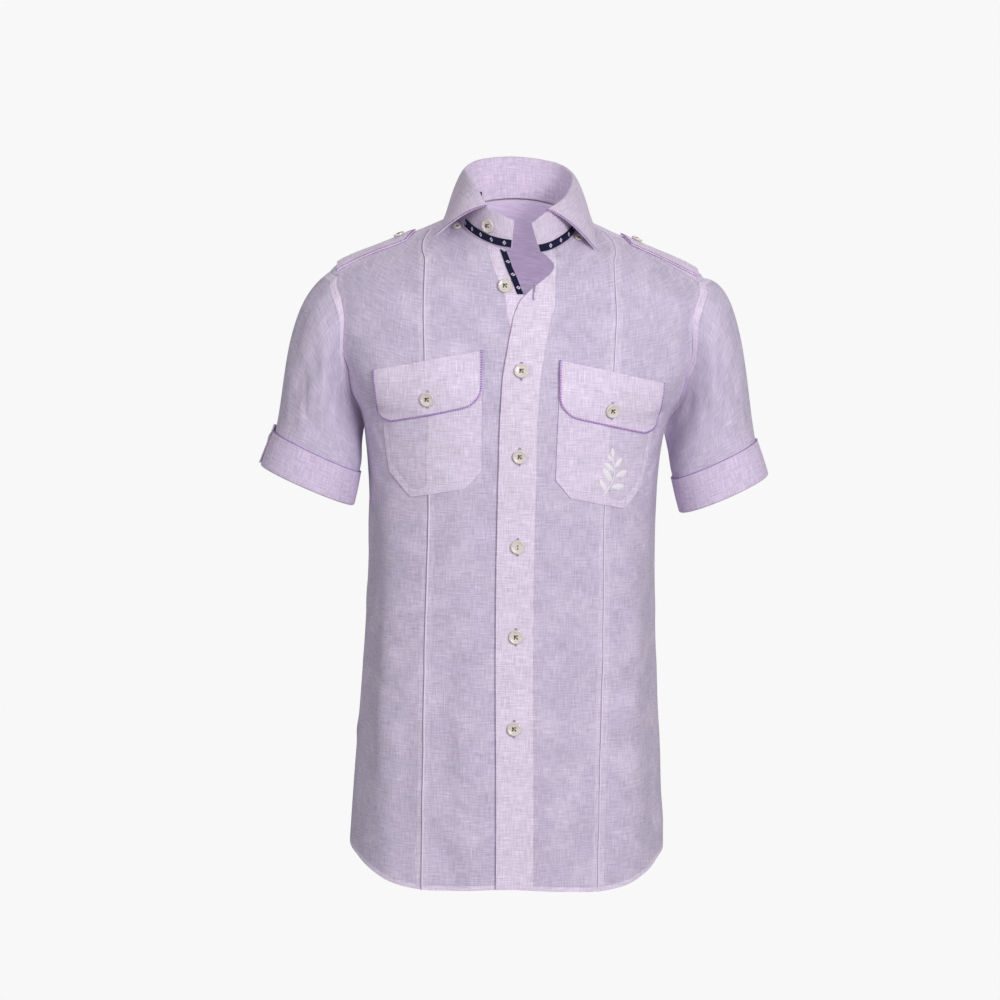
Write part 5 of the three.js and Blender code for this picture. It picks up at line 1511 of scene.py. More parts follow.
@dataclass
class BodyPanels:
    """The two fronts, each in two pieces, the back and the yoke."""

    rows_per_step: int = 10
    upper_rows_per_step: int = 6
    columns_per_step: int = 5
    side_columns: int = 48
    back_columns: int = 132
    underarm_steps: int = 13
    chest_steps: int = 16
    last_step: int = 23
    crowding: float = 1.4
    welt_radius: float = 0.95
    welt_off: float = 0.55
    # Radius and shift of the dark line of painted shadow beside each welt.
    welt_shadow_radius: float = 0.4
    welt_shadow_shift: float = 1.15
    cuts: dict[str, Cut] = field(default_factory=lambda: {
        "front_left_centre": Cut((0.14, 0.76), 0.094, Held.HUNG, ("yoke",)),
        "front_left_side": Cut((0.20, 0.71), 0.092, Held.HUNG, ("yoke",)),
        "front_right_centre": Cut((0.14, 0.76), 0.094, Held.HUNG, ("yoke",)),
        "front_right_side": Cut((0.20, 0.71), 0.092, Held.HUNG, ("yoke",)),
        "back": Cut((0.56, 0.70), 0.33, Held.HUNG, ("yoke",)),
        "yoke": Cut((0.45, 0.22), 0.07, Held.DRAPED, ()),
    })

    def steps(self, first: float, last: float) -> Array:
        """Steps up the fronts from one place to another."""
        low = np.linspace(0, self.underarm_steps, self.underarm_steps * self.rows_per_step + 1)
        above = self.last_step - self.underarm_steps
        count = above * self.upper_rows_per_step + 1
        high = np.linspace(self.underarm_steps, self.last_step, count)
        steps = np.concatenate([low, high[1:]])
        return steps[(steps >= first - 1e-6) & (steps <= last + 1e-6)]

    def share(self, step: Array) -> Array:
        """Share of the way from the hem to the underarm: 1 - (1 - step / last)^crowding."""
        return 1 - (1 - np.clip(step / self.underarm_steps, 0, 1)) ** self.crowding

    def dart_top(self) -> Array:
        """The place where the dart seam meets the yoke."""

        def nearness(tried: Array) -> Array:
            """Minus the distance from the middle."""
            return -BODY.point(YOKE_FRONT_ANGLE, tried)[..., 0]

        level = where_reached(nearness, -DART_SEAM_TOP_X, TIP_LEVEL, NECK_LEVEL)
        return np.array([YOKE_FRONT_ANGLE, float(level)])

    def dart_places(self, step: Array) -> Array:
        """Places of the seam beside the placket, on the wearer's left.

        Args:
            step: Steps up the seam, 0 at the hem and the last one at the yoke.

        Returns:
            (n, 2) angles and levels.
        """
        hem_angle = BODY.angle_at_x(rows_curve(DART_SEAM_X, 0.0), 0.4)
        hem = BODY.hem_level(hem_angle)
        below = hem + (UNDERARM_LEVEL - hem) * self.share(step)
        keys = np.arange(self.underarm_steps, self.last_step)
        above = table_curve(keys, DART_STEPS, step)
        level = np.where(step < self.underarm_steps, below, above)
        angle = BODY.angle_at_x(rows_curve(DART_SEAM_X, level), level)
        places = np.stack([angle, level], axis=-1)
        bend = self.last_step - 1
        blend = np.clip(step - bend, 0, 1)[:, None]
        return places * (1 - blend) + self.dart_top() * blend

    def side_places(self, step: Array, armhole: Rows) -> Array:
        """Places of the side seam and, above it, of the armhole.

        Args:
            step: Steps, 0 at the hem, rising past the underarm to the last one.
            armhole: The table of the armhole's edge.

        Returns:
            (n, 2) angles and levels.
        """
        hem = BODY.hem_level(SIDE_ANGLE)
        below = hem + (UNDERARM_LEVEL - hem) * self.share(step)
        over = np.clip(step - self.underarm_steps, 0, None) / (step[-1] - self.underarm_steps)
        level = np.where(step < self.underarm_steps, below,
                         UNDERARM_LEVEL + (armhole[-1][0] - UNDERARM_LEVEL) * over)
        angle = np.where(step <= self.underarm_steps, SIDE_ANGLE, rows_curve(armhole, level))
        return np.stack([angle, level], axis=-1)

    def centre_places(self, front: Front) -> Array:
        """Places of the piece from the front edge to the dart seam.

        Args:
            front: Which front.

        Returns:
            (rows, columns, 2) places.
        """
        side = front.side.value
        mirror = np.array([side, 1.0])
        per = self.columns_per_step
        columns = np.linspace(0, 8, 8 * per + 1)[None, :]
        lower_steps = self.steps(0, self.chest_steps)
        seam = self.dart_places(lower_steps) * mirror
        level = seam[:, 1:2]
        start_x = rows_curve(front.edge, level)
        end_x = BODY.point(seam[:, 0], seam[:, 1])[:, 0:1]
        widest = PLACKET_WIDTHS[-1]
        plain = (np.abs(end_x - start_x) - widest) / 4
        placket = np.interp(columns, range(5), PLACKET_WIDTHS)
        x = start_x + side * np.where(columns <= 4, placket, widest + plain * (columns - 4))
        levels = np.broadcast_to(level, x.shape)
        share = self.share(lower_steps)[:, None]
        hung = BODY.hem_level(BODY.angle_at_x(x, levels)) * (1 - share) + UNDERARM_LEVEL * share
        levels = np.where(lower_steps[:, None] < self.underarm_steps, hung, levels)
        lower = np.stack([BODY.angle_at_x(x, levels), levels], axis=-1)
        lower[:, -1] = seam
        upper_steps = self.steps(self.chest_steps, self.last_step)
        right = self.dart_places(upper_steps) * mirror
        own = upper_steps - self.chest_steps
        edge_level = table_curve(np.arange(7), OPEN_EDGE_STEPS, own)
        edge_angle = BODY.angle_at_x(rows_curve(front.edge, edge_level), edge_level)
        neck_angle = float(BODY.angle_at_x(rows_curve(front.edge, NECK_LEVEL), NECK_LEVEL))
        neck_start = np.array([neck_angle, float(neck_seam_level(neck_angle))])
        blend = np.clip(own - 6, 0, 1)[:, None]
        left = np.stack([edge_angle, edge_level], axis=-1) * (1 - blend) + neck_start * blend
        neck_angles = np.linspace(neck_angle, side * YOKE_FRONT_ANGLE, 6 * per + 1)
        neck = np.stack([neck_angles, neck_seam_level(neck_angles)], axis=-1)
        neck[-1, 1] = NECK_LEVEL
        down = np.linspace(neck[-1], right[-1], 2 * per + 1)[1:]
        upper = coons(lower[-1], np.concatenate([neck, down]), left, right)
        return np.concatenate([lower[:-1], upper])

    def side_panel_places(self, front: Front) -> Array:
        """Places of the piece from the dart seam to the side seam and the armhole."""
        mirror = np.array([front.side.value, 1.0])
        steps = self.steps(0, self.last_step)
        left = self.dart_places(steps)
        right = self.side_places(steps, ARMHOLE_FRONT)
        cut = int(np.argmin(np.abs(steps - self.underarm_steps)))
        angles = np.linspace(left[0, 0], right[0, 0], self.side_columns + 1)
        bottom = np.stack([angles, BODY.hem_level(angles)], axis=-1)
        middle = np.linspace(left[cut], right[cut], self.side_columns + 1)
        top = np.linspace(left[-1], right[-1], self.side_columns + 1)
        under = coons(bottom, middle, left[: cut + 1], right[: cut + 1])
        over = coons(middle, top, left[cut:], right[cut:])
        return np.concatenate([under[:-1], over]) * mirror

    def yoke_back_seam(self, count: int) -> Array:
        """Places of the seam across the back under the yoke: its level rises by a half sine."""
        angles = np.linspace(YOKE_BACK_ANGLE, 360 - YOKE_BACK_ANGLE, count)
        rise = np.sin(np.pi * np.linspace(0, 1, count))
        level = YOKE_BACK_END_LEVEL + (YOKE_BACK_LEVEL - YOKE_BACK_END_LEVEL) * rise
        return np.stack([angles, level], axis=-1)

    def back_places(self) -> Array:
        """Places of the back panel, from the wearer's left side round to the right one."""
        steps = self.steps(0, self.underarm_steps + 8)
        left = self.side_places(steps, ARMHOLE_BACK)
        right = np.stack([360 - left[:, 0], left[:, 1]], axis=-1)
        angles = np.linspace(SIDE_ANGLE, 360 - SIDE_ANGLE, self.back_columns + 1)
        bottom = np.stack([angles, BODY.hem_level(angles)], axis=-1)
        return coons(bottom, self.yoke_back_seam(self.back_columns + 1), left, right)

    def yoke_places(self) -> Array:
        """Places of the yoke, from its lower edge up to the neck."""
        tip = np.array([YOKE_FRONT_ANGLE, TIP_LEVEL])
        end = np.array([YOKE_BACK_ANGLE, YOKE_BACK_END_LEVEL])
        over = np.linspace(tip, end, 11)
        other = np.stack([360 - over[::-1, 0], over[::-1, 1]], axis=-1)
        bottom = np.concatenate([over[:-1], self.yoke_back_seam(91), other[1:]])
        top = np.stack([bottom[:, 0], np.full(len(bottom), NECK_LEVEL)], axis=-1)
        rows = np.linspace(0, 10, 41)
        level = np.interp(rows, (0, 8, 10), (TIP_LEVEL, self.dart_top()[1], NECK_LEVEL))
        left = np.stack([np.full(41, YOKE_FRONT_ANGLE), level], axis=-1)
        right = np.stack([360 - left[:, 0], left[:, 1]], axis=-1)
        return coons(bottom, top, left, right)

    def marks(self, places: Array, points: Array, seams: list[Array]) -> tuple[Array, Array]:
        """Distances from the hem's double layer and from the sewn edges.

        Args:
            places: (rows, columns, 2) places.
            points: (rows, columns, 3) points.
            seams: Sewn edges as rows of points.

        Returns:
            The two distances in mm.
        """
        low = np.stack([places[..., 0], BODY.hem_level(places[..., 0])], axis=-1)
        up = BODY.cloth_measures(places)[..., 1] - BODY.cloth_measures(low)[..., 1]
        seam = seam_distance(points, seams)
        return up - HEM_DEPTH, seam

    def build(self, sewing: Sewing) -> None:
        """Makes the six panels, the welts on the seams beside the placket, and beside each welt a
        dark line of painted shadow.
        """
        for front in FRONTS.values():
            self.build_front(front)
            mirror = np.array([front.side.value, 1.0])
            line, out = front.cloth(self.dart_places(self.steps(0, self.last_step)) * mirror)
            line = line + out * self.welt_off
            sewing.welts.tube(line, out, self.welt_radius, 8)
            # A dark tube on the -X side of the welt: painted shadow.
            beside = line - np.array([self.welt_shadow_shift, 0, 0])
            sewing.shadow.tube(beside, out, self.welt_shadow_radius)
        places = self.back_places()
        points, out = BODY.cloth(places)
        hem, seam = self.marks(places, points, [points[:, 0], points[:, -1], points[-1]])
        grid = ClothGrid(points, out, BODY.cloth_measures(places), LINEN_HALF, hem, seam)
        add_cloth("back", grid, LINEN)
        places = self.yoke_places()
        points, out = BODY.cloth(places)
        border = [points[0], points[:, 0], points[:, -1], points[-1]]
        seam = seam_distance(points, border)
        grid = ClothGrid(
            points, out, BODY.cloth_measures(places), DOUBLE_HALF, FAR_INSIDE, seam)
        add_cloth("yoke", grid, LINEN_TURNED)

    def build_front(self, front: Front) -> None:
        """Makes the two pieces of one front."""
        places = self.centre_places(front)
        points, out = front.cloth(places)
        hem, seam = self.marks(places, points, [points[:, -1], points[-1]])
        near_edge = front.from_edge(places, points) - front.facing
        near_middle = np.abs(points[..., 0]) - FACING_REACH
        doubled = np.minimum(hem, np.maximum(near_edge, near_middle))
        half = LINEN_HALF + (DOUBLE_HALF - LINEN_HALF) * (1 - smooth(doubled, -4, 3))
        grid = ClothGrid(points, out, BODY.cloth_measures(places), half, doubled, seam)
        name = f"front_{front.side.word}_centre"
        add_cloth(name, grid, LINEN)
        places = self.side_panel_places(front)
        points, out = front.cloth(places)
        hem, seam = self.marks(places, points, [points[:, 0], points[:, -1], points[-1]])
        grid = ClothGrid(points, out, BODY.cloth_measures(places), LINEN_HALF, hem, seam)
        name = f"front_{front.side.word}_side"
        add_cloth(name, grid, LINEN)


SLEEVE_MIDDLE_Y = -8.0


@dataclass(frozen=True)
class Ring:
    """A ring of the sleeve by its outer and inner ends, seen from the front."""

    outer: tuple[float, float]
    inner: tuple[float, float]

    def point(self, turn: Array, half_depth: float, side: int) -> Array:
        """Points at turns: the ends' middle, plus the half way between them times the cosine,
        with the depth times the sine towards the front."""
        cosine = np.cos(np.radians(turn))
        middle = (np.array(self.outer) + self.inner) / 2
        half = (np.array(self.outer) - self.inner) / 2
        x = middle[0] + half[0] * cosine
        z = middle[1] + half[1] * cosine
        y = SLEEVE_MIDDLE_Y - half_depth * np.sin(np.radians(turn))
        return np.stack(np.broadcast_arrays(side * x, y, z), axis=-1)


@dataclass
class Sleeve:
    """One sleeve with its turned-up end and its tab."""

    side: Side
    cuff_top: Ring
    cuff_end: Ring
    half_depth: float
    head_way: tuple[float, float]
    head_push: float
    tab_turn: float
    creases: tuple[Fold, ...]
    columns: int = 132
    rows: int = 60
    cuff_rows: int = 12
    low_way: tuple[float, float] = (0.2, -0.98)
    spread: float = 0.35
    length: float = 200.0
    rumple_seed: int = 11
    rumple_height: float = 0.16
    seam_allowance: float = 8.0
    roll: float = 1.7
    cuff_half: float = 0.6
    cuff_inside: float = 9.0
    cuff_thread_off: float = 0.75
    tab_half_turn: float = 17.0
    tab_rise: float = 1.16
    tab_off: float = 4.0
    tab_half: float = 0.7
    tab_seat: tuple[int, int] = (14, 8)

    def armhole(self) -> Array:
        """Places of the armhole on the wearer's left: up the front, over the yoke and down the
        back, evenly along its length, with the first place again at the end."""
        front_level = np.linspace(UNDERARM_LEVEL, TIP_LEVEL, 81)
        front = np.stack([rows_curve(ARMHOLE_FRONT, front_level), front_level], axis=-1)
        over = np.linspace(front[-1], (YOKE_BACK_ANGLE, YOKE_BACK_END_LEVEL), 21)
        back_level = np.linspace(YOKE_BACK_END_LEVEL, UNDERARM_LEVEL, 73)
        back = np.stack([rows_curve(ARMHOLE_BACK, back_level), back_level], axis=-1)
        places = np.concatenate([front, over[1:], back[1:]])
        length = lengths_along(BODY.point(places[:, 0], places[:, 1]))
        return read_rows(places, length, np.linspace(0, length[-1], self.columns + 1))

    def surface(self) -> tuple[Array, Array, Array]:
        """The sleeve's middle points from the armhole to its end.

        Each line runs on a cubic from the armhole to the top ring of the turned-up end, with
        the ways it leaves and arrives given, and then straight to the lower ring.

        Returns:
            Points of (rows, columns, 3), turns of the columns, and the share along of the rows,
            past 1 on the turned-up end.
        """
        side = self.side.value
        places = self.armhole()[:-1] * np.array([side, 1.0])
        start = BODY.point(places[:, 0], places[:, 1])[None]
        turn = 180 - 360 * np.arange(self.columns) / self.columns
        end = self.cuff_top.point(turn, self.half_depth, side)[None]
        run = np.linalg.norm(end - start, axis=-1, keepdims=True)
        high = ((1 + np.cos(np.radians(turn))) / 2)[None, :, None]
        top_way = np.array([side * self.head_way[0], 0, self.head_way[1]])
        low_way = np.array([side * self.low_way[0], 0, self.low_way[1]])
        start_way = low_way + (top_way - low_way) * high
        start_way[..., 1] -= self.spread * np.sin(np.radians(turn))
        start_way = unit(start_way) * run * (1 + (self.head_push - 1) * high)
        t = np.linspace(0, 1, self.rows + 1)[:, None, None]
        points = ((2 * t**3 - 3 * t**2 + 1) * start + (t**3 - 2 * t**2 + t) * start_way
                  + (3 * t**2 - 2 * t**3) * end + (t**3 - t**2) * low_way * run)
        lower = self.cuff_end.point(turn, self.half_depth, side)[None]
        s = np.linspace(0, 1, self.cuff_rows + 1)[1:, None, None]
        points = np.concatenate([points, end + (lower - end) * s])
        along = np.concatenate([t[:, 0, 0], 1 + s[:, 0, 0]])
        return points, turn, along

    def uv(self, points: Array) -> Array:
        """Lengths round and along, one column more than the points for the closing line."""
        return grid_lengths(np.concatenate([points, points[:, :1]], axis=1))

    def build(self, sewing: Sewing) -> None:
        """Makes the sleeve, its turned-up end and its tab."""
        points, turn, along = self.surface()
        middle = points.mean(axis=1, keepdims=True)
        plain = grid_normals(points, middle, True)
        uv = self.uv(points)
        fade = smooth(along, 0, 0.2) * (1 - smooth(along, 0.8, 1))
        folds = fold_height(SLEEVE_FOLDS, turn[None, :], along[:, None], SLEEVE_FOLD_SCALE)
        small = crease_height(self.creases, turn[None, :], along[:, None] * self.length)
        way_round = 2 * np.pi * uv[:, :-1, 0] / uv[0, -1, 0]
        soft = rumple(self.length * np.cos(way_round), uv[:, :-1, 1], self.rumple_seed,
                      self.rumple_height)
        height = folds * fade[:, None] + (small + soft) * smooth(along, 0, 0.12)[:, None]
        folded = points + plain * height[..., None]
        out = grid_normals(folded, middle, True)
        from_armhole = uv[:, :-1, 1]
        double = from_armhole[:-1] - self.seam_allowance
        grid = ClothGrid(folded[:-1], out[:-1], uv[:-1], LINEN_HALF, double,
                         from_armhole[:-1], True)
        name = self.side.word
        add_cloth(f"sleeve_{name}", grid, LINEN)
        self.build_cuff(turn, sewing)
        self.build_tab(sewing)

    def build_cuff(self, turn: Array, sewing: Sewing) -> None:
        """Makes the turned-up end: down the outside, round the lower fold and up the inside."""
        side = self.side.value
        top = self.cuff_top.point(turn, self.half_depth, side)
        low = self.cuff_end.point(turn, self.half_depth, side)
        base = np.stack([top, low])
        out = grid_normals(base, base.mean(axis=1, keepdims=True), True)[0]
        down = unit(low - top)
        depth = np.linalg.norm(low - top, axis=-1)
        run = np.linspace(0, 1, 17)
        bend = np.linspace(0, math.pi, 9)[1:]
        back = np.linspace(0, self.cuff_inside, 4)[1:]
        lift = np.concatenate([np.full(17, self.roll), self.roll * np.cos(bend),
                               np.full(3, -self.roll)])
        sink = np.concatenate([np.zeros(17), self.roll * np.sin(bend), -back])
        share = np.concatenate([run, np.ones(11)])
        wave = 0.5 * np.sin(np.radians(3 * turn + 40)) + 0.35 * np.sin(np.radians(7 * turn))
        swell = np.sin(np.pi * share)[:, None] * 0.8 + wave * (1 - share)[:, None]
        offset = lift[:, None] + np.where(lift[:, None] > 0, swell * 0.5, 0)
        points = (top + down * depth[:, None] * share[:, None, None]
                  + down * sink[:, None, None] + out * offset[..., None])
        normals = grid_normals(points[:17], points[:17].mean(axis=1, keepdims=True), True)
        rolled = out * np.cos(bend)[:, None, None] + down * np.sin(bend)[:, None, None]
        inner = np.repeat(-out[None], 3, axis=0)
        ways = np.concatenate([normals, rolled, inner])
        uv = self.uv(points)
        grid = ClothGrid(points, ways, uv, self.cuff_half, FAR_INSIDE, uv[:, :-1, 1] + 3.0, True)
        add_cloth(f"cuff_{self.side.word}", grid, CUFF_LINEN)
        way = np.concatenate([ways[0], ways[0, :1]])
        ring = np.concatenate([points[0], points[0, :1]]) + way * self.cuff_thread_off
        sewing.running(sewing.purple, ring, way, CUFF_STITCH)

    def build_tab(self, sewing: Sewing) -> None:
        """Makes the tab that stands up the outside of the turned-up end, and its button."""
        side = self.side.value
        turn = self.tab_turn + np.linspace(-self.tab_half_turn, self.tab_half_turn, 17)
        share = np.linspace(0, self.tab_rise, 22)[:, None, None]
        low = self.cuff_end.point(turn, self.half_depth, side)
        top = self.cuff_top.point(turn, self.half_depth, side)
        points = low + (top - low) * share
        out = grid_normals(points, self.cuff_end.point(np.array(90.0), 0, side))
        points = points + out * self.tab_off
        across = np.linalg.norm(points[0] - points[0, :1], axis=-1)
        along = np.linalg.norm(points[:, 0] - points[0, 0], axis=-1)
        uv = np.stack(np.broadcast_arrays(across[None, :], along[:, None]), axis=-1)
        border = np.minimum(np.minimum(across, across[-1] - across)[None, :],
                            (along[-1] - along)[:, None])
        grid = ClothGrid(points, out, uv, self.tab_half, FAR_INSIDE, border + 2)
        add_cloth(f"sleeve_tab_{self.side.word}", grid, LINEN)
        top = (points + out * self.tab_half)[::-1]
        sewing.overcast(round_border(top), round_border(out[::-1]), points[10, 8])
        way = out[self.tab_seat]
        at = points[self.tab_seat] + way * (self.tab_half + BUTTON_GAP)
        Button(f"tab_button_{self.side.word}", MEDIUM, at, way).build(sewing)


@dataclass(frozen=True)
class PatchShape:
    """A pocket's or a flap's outline, by x and z as seen from the front on the left side."""

    inner_top: tuple[float, float]
    outer_top: tuple[float, float]
    inner_x: float
    outer_x: float
    low_inner_z: float
    low_outer_z: float
    inner_cut: tuple[float, float]
    outer_cut: tuple[float, float]
    is_clipped: bool

    def lower_edge(self, count: int) -> Array:
        """Points of the lower edge from the inner side to the outer one, evenly spaced.

        The corners are straight cuts, or quarter ellipses where the piece isn't clipped.

        Args:
            count: How many points.

        Returns:
            (count, 2) points.
        """
        slope = (self.low_outer_z - self.low_inner_z) / (self.outer_x - self.inner_x)

        def corner(side_x: float, cut: tuple[float, float], towards: int, share: Array) -> Array:
            """Points of one corner, from the side to the bottom."""
            x = side_x + towards * cut[0] * (1 - np.cos(share * np.pi / 2))
            line = self.low_inner_z + slope * (x - self.inner_x)
            return np.stack([x, line + cut[1] * (1 - np.sin(share * np.pi / 2))], axis=-1)

        share = np.array([0.0, 1.0]) if self.is_clipped else np.linspace(0, 1, 12)
        inner = corner(self.inner_x, self.inner_cut, 1, share)
        outer = corner(self.outer_x, self.outer_cut, -1, share)[::-1]
        return resampled(np.concatenate([inner, outer]), count)

    def grid(self, columns: int, rows: int) -> Array:
        """(rows, columns, 2) points of x and z that fill the outline."""
        bottom = self.lower_edge(columns)
        top = np.linspace(self.inner_top, self.outer_top, columns)
        inner = np.linspace(bottom[0], self.inner_top, rows)
        outer = np.linspace(bottom[-1], self.outer_top, rows)
        return coons(bottom, top, inner, outer)


POCKET_SHAPE = PatchShape((43, -166), (156, -190), 41, 141, -296, -316, (17, 17), (22, 31), True)
FLAP_SHAPE = PatchShape((43, -147), (161, -171), 43, 155, -206, -231, (20, 19), (20, 21), False)


@dataclass
class Pocket:
    """A patch pocket under its flap, on one front."""

    side: Side
    drop: float
    columns: int = 45
    pocket_rows: int = 49
    flap_rows: int = 31
    pocket_off: float = 2.0
    flap_off: float = 4.1
    flap_half: float = 0.7
    flap_top_sunk: float = 1.3
    flap_edge_sunk: float = 0.25
    inner_half_x: float = 101.0
    edge_sunk: float = 0.7
    belly: float = 0.8
    single_half: float = 0.45
    turned_half: float = 0.6
    turned_in: float = 4.5
    turned_in_below: float = 8.5
    hole_length: float = 19.0
    sprig_off: float = 0.5
    button_x: float = 101.0
    button_z: float = -201.0

    def seen(self, flat: Array) -> Array:
        """Points of x and z on this side for the ones of the left shape."""
        return flat * np.array([self.side.value, 1.0]) + np.array([0, self.drop])

    def border_distance(self, flat: Array) -> Array:
        """Distance from the pocket's sides and bottom."""
        shape = POCKET_SHAPE.grid(self.columns, self.pocket_rows)
        return line_distance(flat, resampled(round_border(shape), 500))

    def pocket_surface(self, flat: Array, off: float = 0.0) -> tuple[Array, Array]:
        """Points and ways out of the pocket's middle, which stands off the front in a low
        belly: its sides and bottom lie close and the rest rises by smooth steps.

        Args:
            flat: (..., 2) x and z of the left shape.
            off: Distance off the pocket.

        Returns:
            (..., 3) points and unit vectors.
        """
        middle = smooth(self.border_distance(flat), 0, 14)
        belly = smooth(flat[..., 1], -330, -250) * middle
        lift = self.pocket_off + self.edge_sunk * (middle - 1) + self.belly * belly + off
        return on_front(self.side, self.seen(flat), lift)

    def add_sprig(self, sewing: Sewing) -> None:
        """Adds a sprig: a bent stem, and lens-shaped leaves on both sides of it."""
        t = np.linspace(0, 1, 40)
        stem = np.stack([94 + 10 * t + 6 * np.sin(np.pi * t), -297 + 42 * t], axis=-1)
        line, out = self.pocket_surface(stem, self.sprig_off)
        stem_radius = 0.55
        leaf_gap = 0.5
        leaf_width = 0.19
        leaf_lens = 0.85
        sewing.white.tube(line, out, stem_radius)
        at = np.array([0.12, 0.24, 0.38, 0.5, 0.64, 0.76, 0.9, 1.0])
        turn = np.radians([62, -58, 56, -54, 48, -46, 30, -8])
        length = np.array([16, 18, 19, 18, 16, 14, 11, 12.0])[:, None]
        base = read_rows(stem, t, at)
        run = unit(read_rows(np.gradient(stem, axis=0), t, at))
        heading = np.stack([run[:, 0] * np.cos(turn) - run[:, 1] * np.sin(turn),
                            run[:, 0] * np.sin(turn) + run[:, 1] * np.cos(turn)], axis=1)
        middle = base + heading * (length / 2 + leaf_gap)
        points, out = self.pocket_surface(middle, self.sprig_off)
        along = unit(self.pocket_surface(middle + heading, self.sprig_off)[0] - points)
        wide = np.cross(out, along) * length * leaf_width
        sewing.white.beads(points, along * length / 2, wide, out * self.sprig_off, leaf_lens)

    def build(self, sewing: Sewing) -> None:
        """Makes the pocket and its flap, with the flap's overcast edge and button."""
        name = self.side.word
        flat = POCKET_SHAPE.grid(self.columns, self.pocket_rows)
        border = self.border_distance(flat)
        points, out = self.pocket_surface(flat)
        turned = 1 - smooth(border, 5, 7)
        half = self.single_half + (self.turned_half - self.single_half) * turned
        below = line_distance(flat, resampled(flat[0], 300)) - self.turned_in_below
        hem = np.minimum(border - self.turned_in, below)
        double = np.minimum(hem, flat[..., 0] - self.inner_half_x)
        grid = ClothGrid(points, out, flat, half, double, border + 2)
        add_cloth(f"pocket_{name}", grid, POCKET_LINEN)
        flat = FLAP_SHAPE.grid(self.columns, self.flap_rows)
        border = line_distance(flat, resampled(round_border(flat), 500))
        from_top = line_distance(flat, resampled(flat[-1], 300))
        sunk = self.flap_top_sunk * (1 - smooth(from_top, 0, 16))
        sunk = sunk + self.flap_edge_sunk * (1 - smooth(border, 0, 5))
        points, out = on_front(self.side, self.seen(flat), self.flap_off - sunk)
        grid = ClothGrid(points, out, flat, self.flap_half, FAR_INSIDE, border + 2)
        add_cloth(f"flap_{name}", grid, LINEN_TURNED)
        top = points + out * self.flap_half
        sewing.overcast(round_border(top), round_border(out), points[15, 22])
        spot = self.seen(np.array([self.button_x, self.button_z]))
        top_off = self.flap_off + self.flap_half
        sewing.buttonhole(self.side, spot[0], spot[1], self.hole_length, top_off)
        place = BODY.place_on_front(spot[0], spot[1])
        off = top_off + BUTTON_GAP
        at, out = seat(lambda places: FRONTS[self.side].cloth(places, off)[0], place)
        Button(f"flap_button_{name}", LARGE, at, out).build(sewing)
        if self.side is Side.LEFT:
            self.add_sprig(sewing)


@dataclass
class ShoulderStrap:
    """A strap on one shoulder, from the armhole to a pointed end near the collar."""

    side: Side
    from_x: float = 204.0
    to_x: float = 116.0
    half_width: float = 21.0
    point: float = 11.0
    half: float = 0.8
    off: float = 2.6
    button_x: float = 134.0

    def build(self, sewing: Sewing) -> None:
        """Makes the strap, its overcast edge, its row of stitches and its button."""
        across = np.linspace(-1, 1, 21)[None, :]
        t = np.linspace(0, 1, 36)[:, None]
        end_x = self.to_x + self.point * np.abs(across)
        x = self.from_x + (end_x - self.from_x) * t
        flat = np.stack(np.broadcast_arrays(x, across * self.half_width), axis=-1)
        places = BODY.place_on_shoulder(self.side.value * flat[..., 0], flat[..., 1])
        points, out = BODY.cloth(places)
        points = points + out * self.off
        outline = np.concatenate([flat[:, 0], flat[-1], flat[::-1, -1]])
        border = line_distance(flat, resampled(outline, 300))
        grid = ClothGrid(points, out, flat, self.half, FAR_INSIDE, border + 2)
        add_cloth(f"shoulder_strap_{self.side.word}", grid, LINEN)
        top = (points + out * self.half)[::-1]
        ways = out[::-1]
        sewing.overcast(round_border(top), round_border(ways), points[18, 10])
        inner = (slice(2, None), slice(2, -2))
        sewing.running(sewing.pale, round_border(top[inner]), round_border(ways[inner]),
                       STRAP_STITCH)
        place = BODY.place_on_shoulder(self.side.value * self.button_x, 0.0)
        off = self.off + self.half + BUTTON_GAP
        at, way = seat(lambda places: BODY.cloth(places, off)[0], place)
        Button(f"strap_button_{self.side.word}", MEDIUM, at, way).build(sewing)


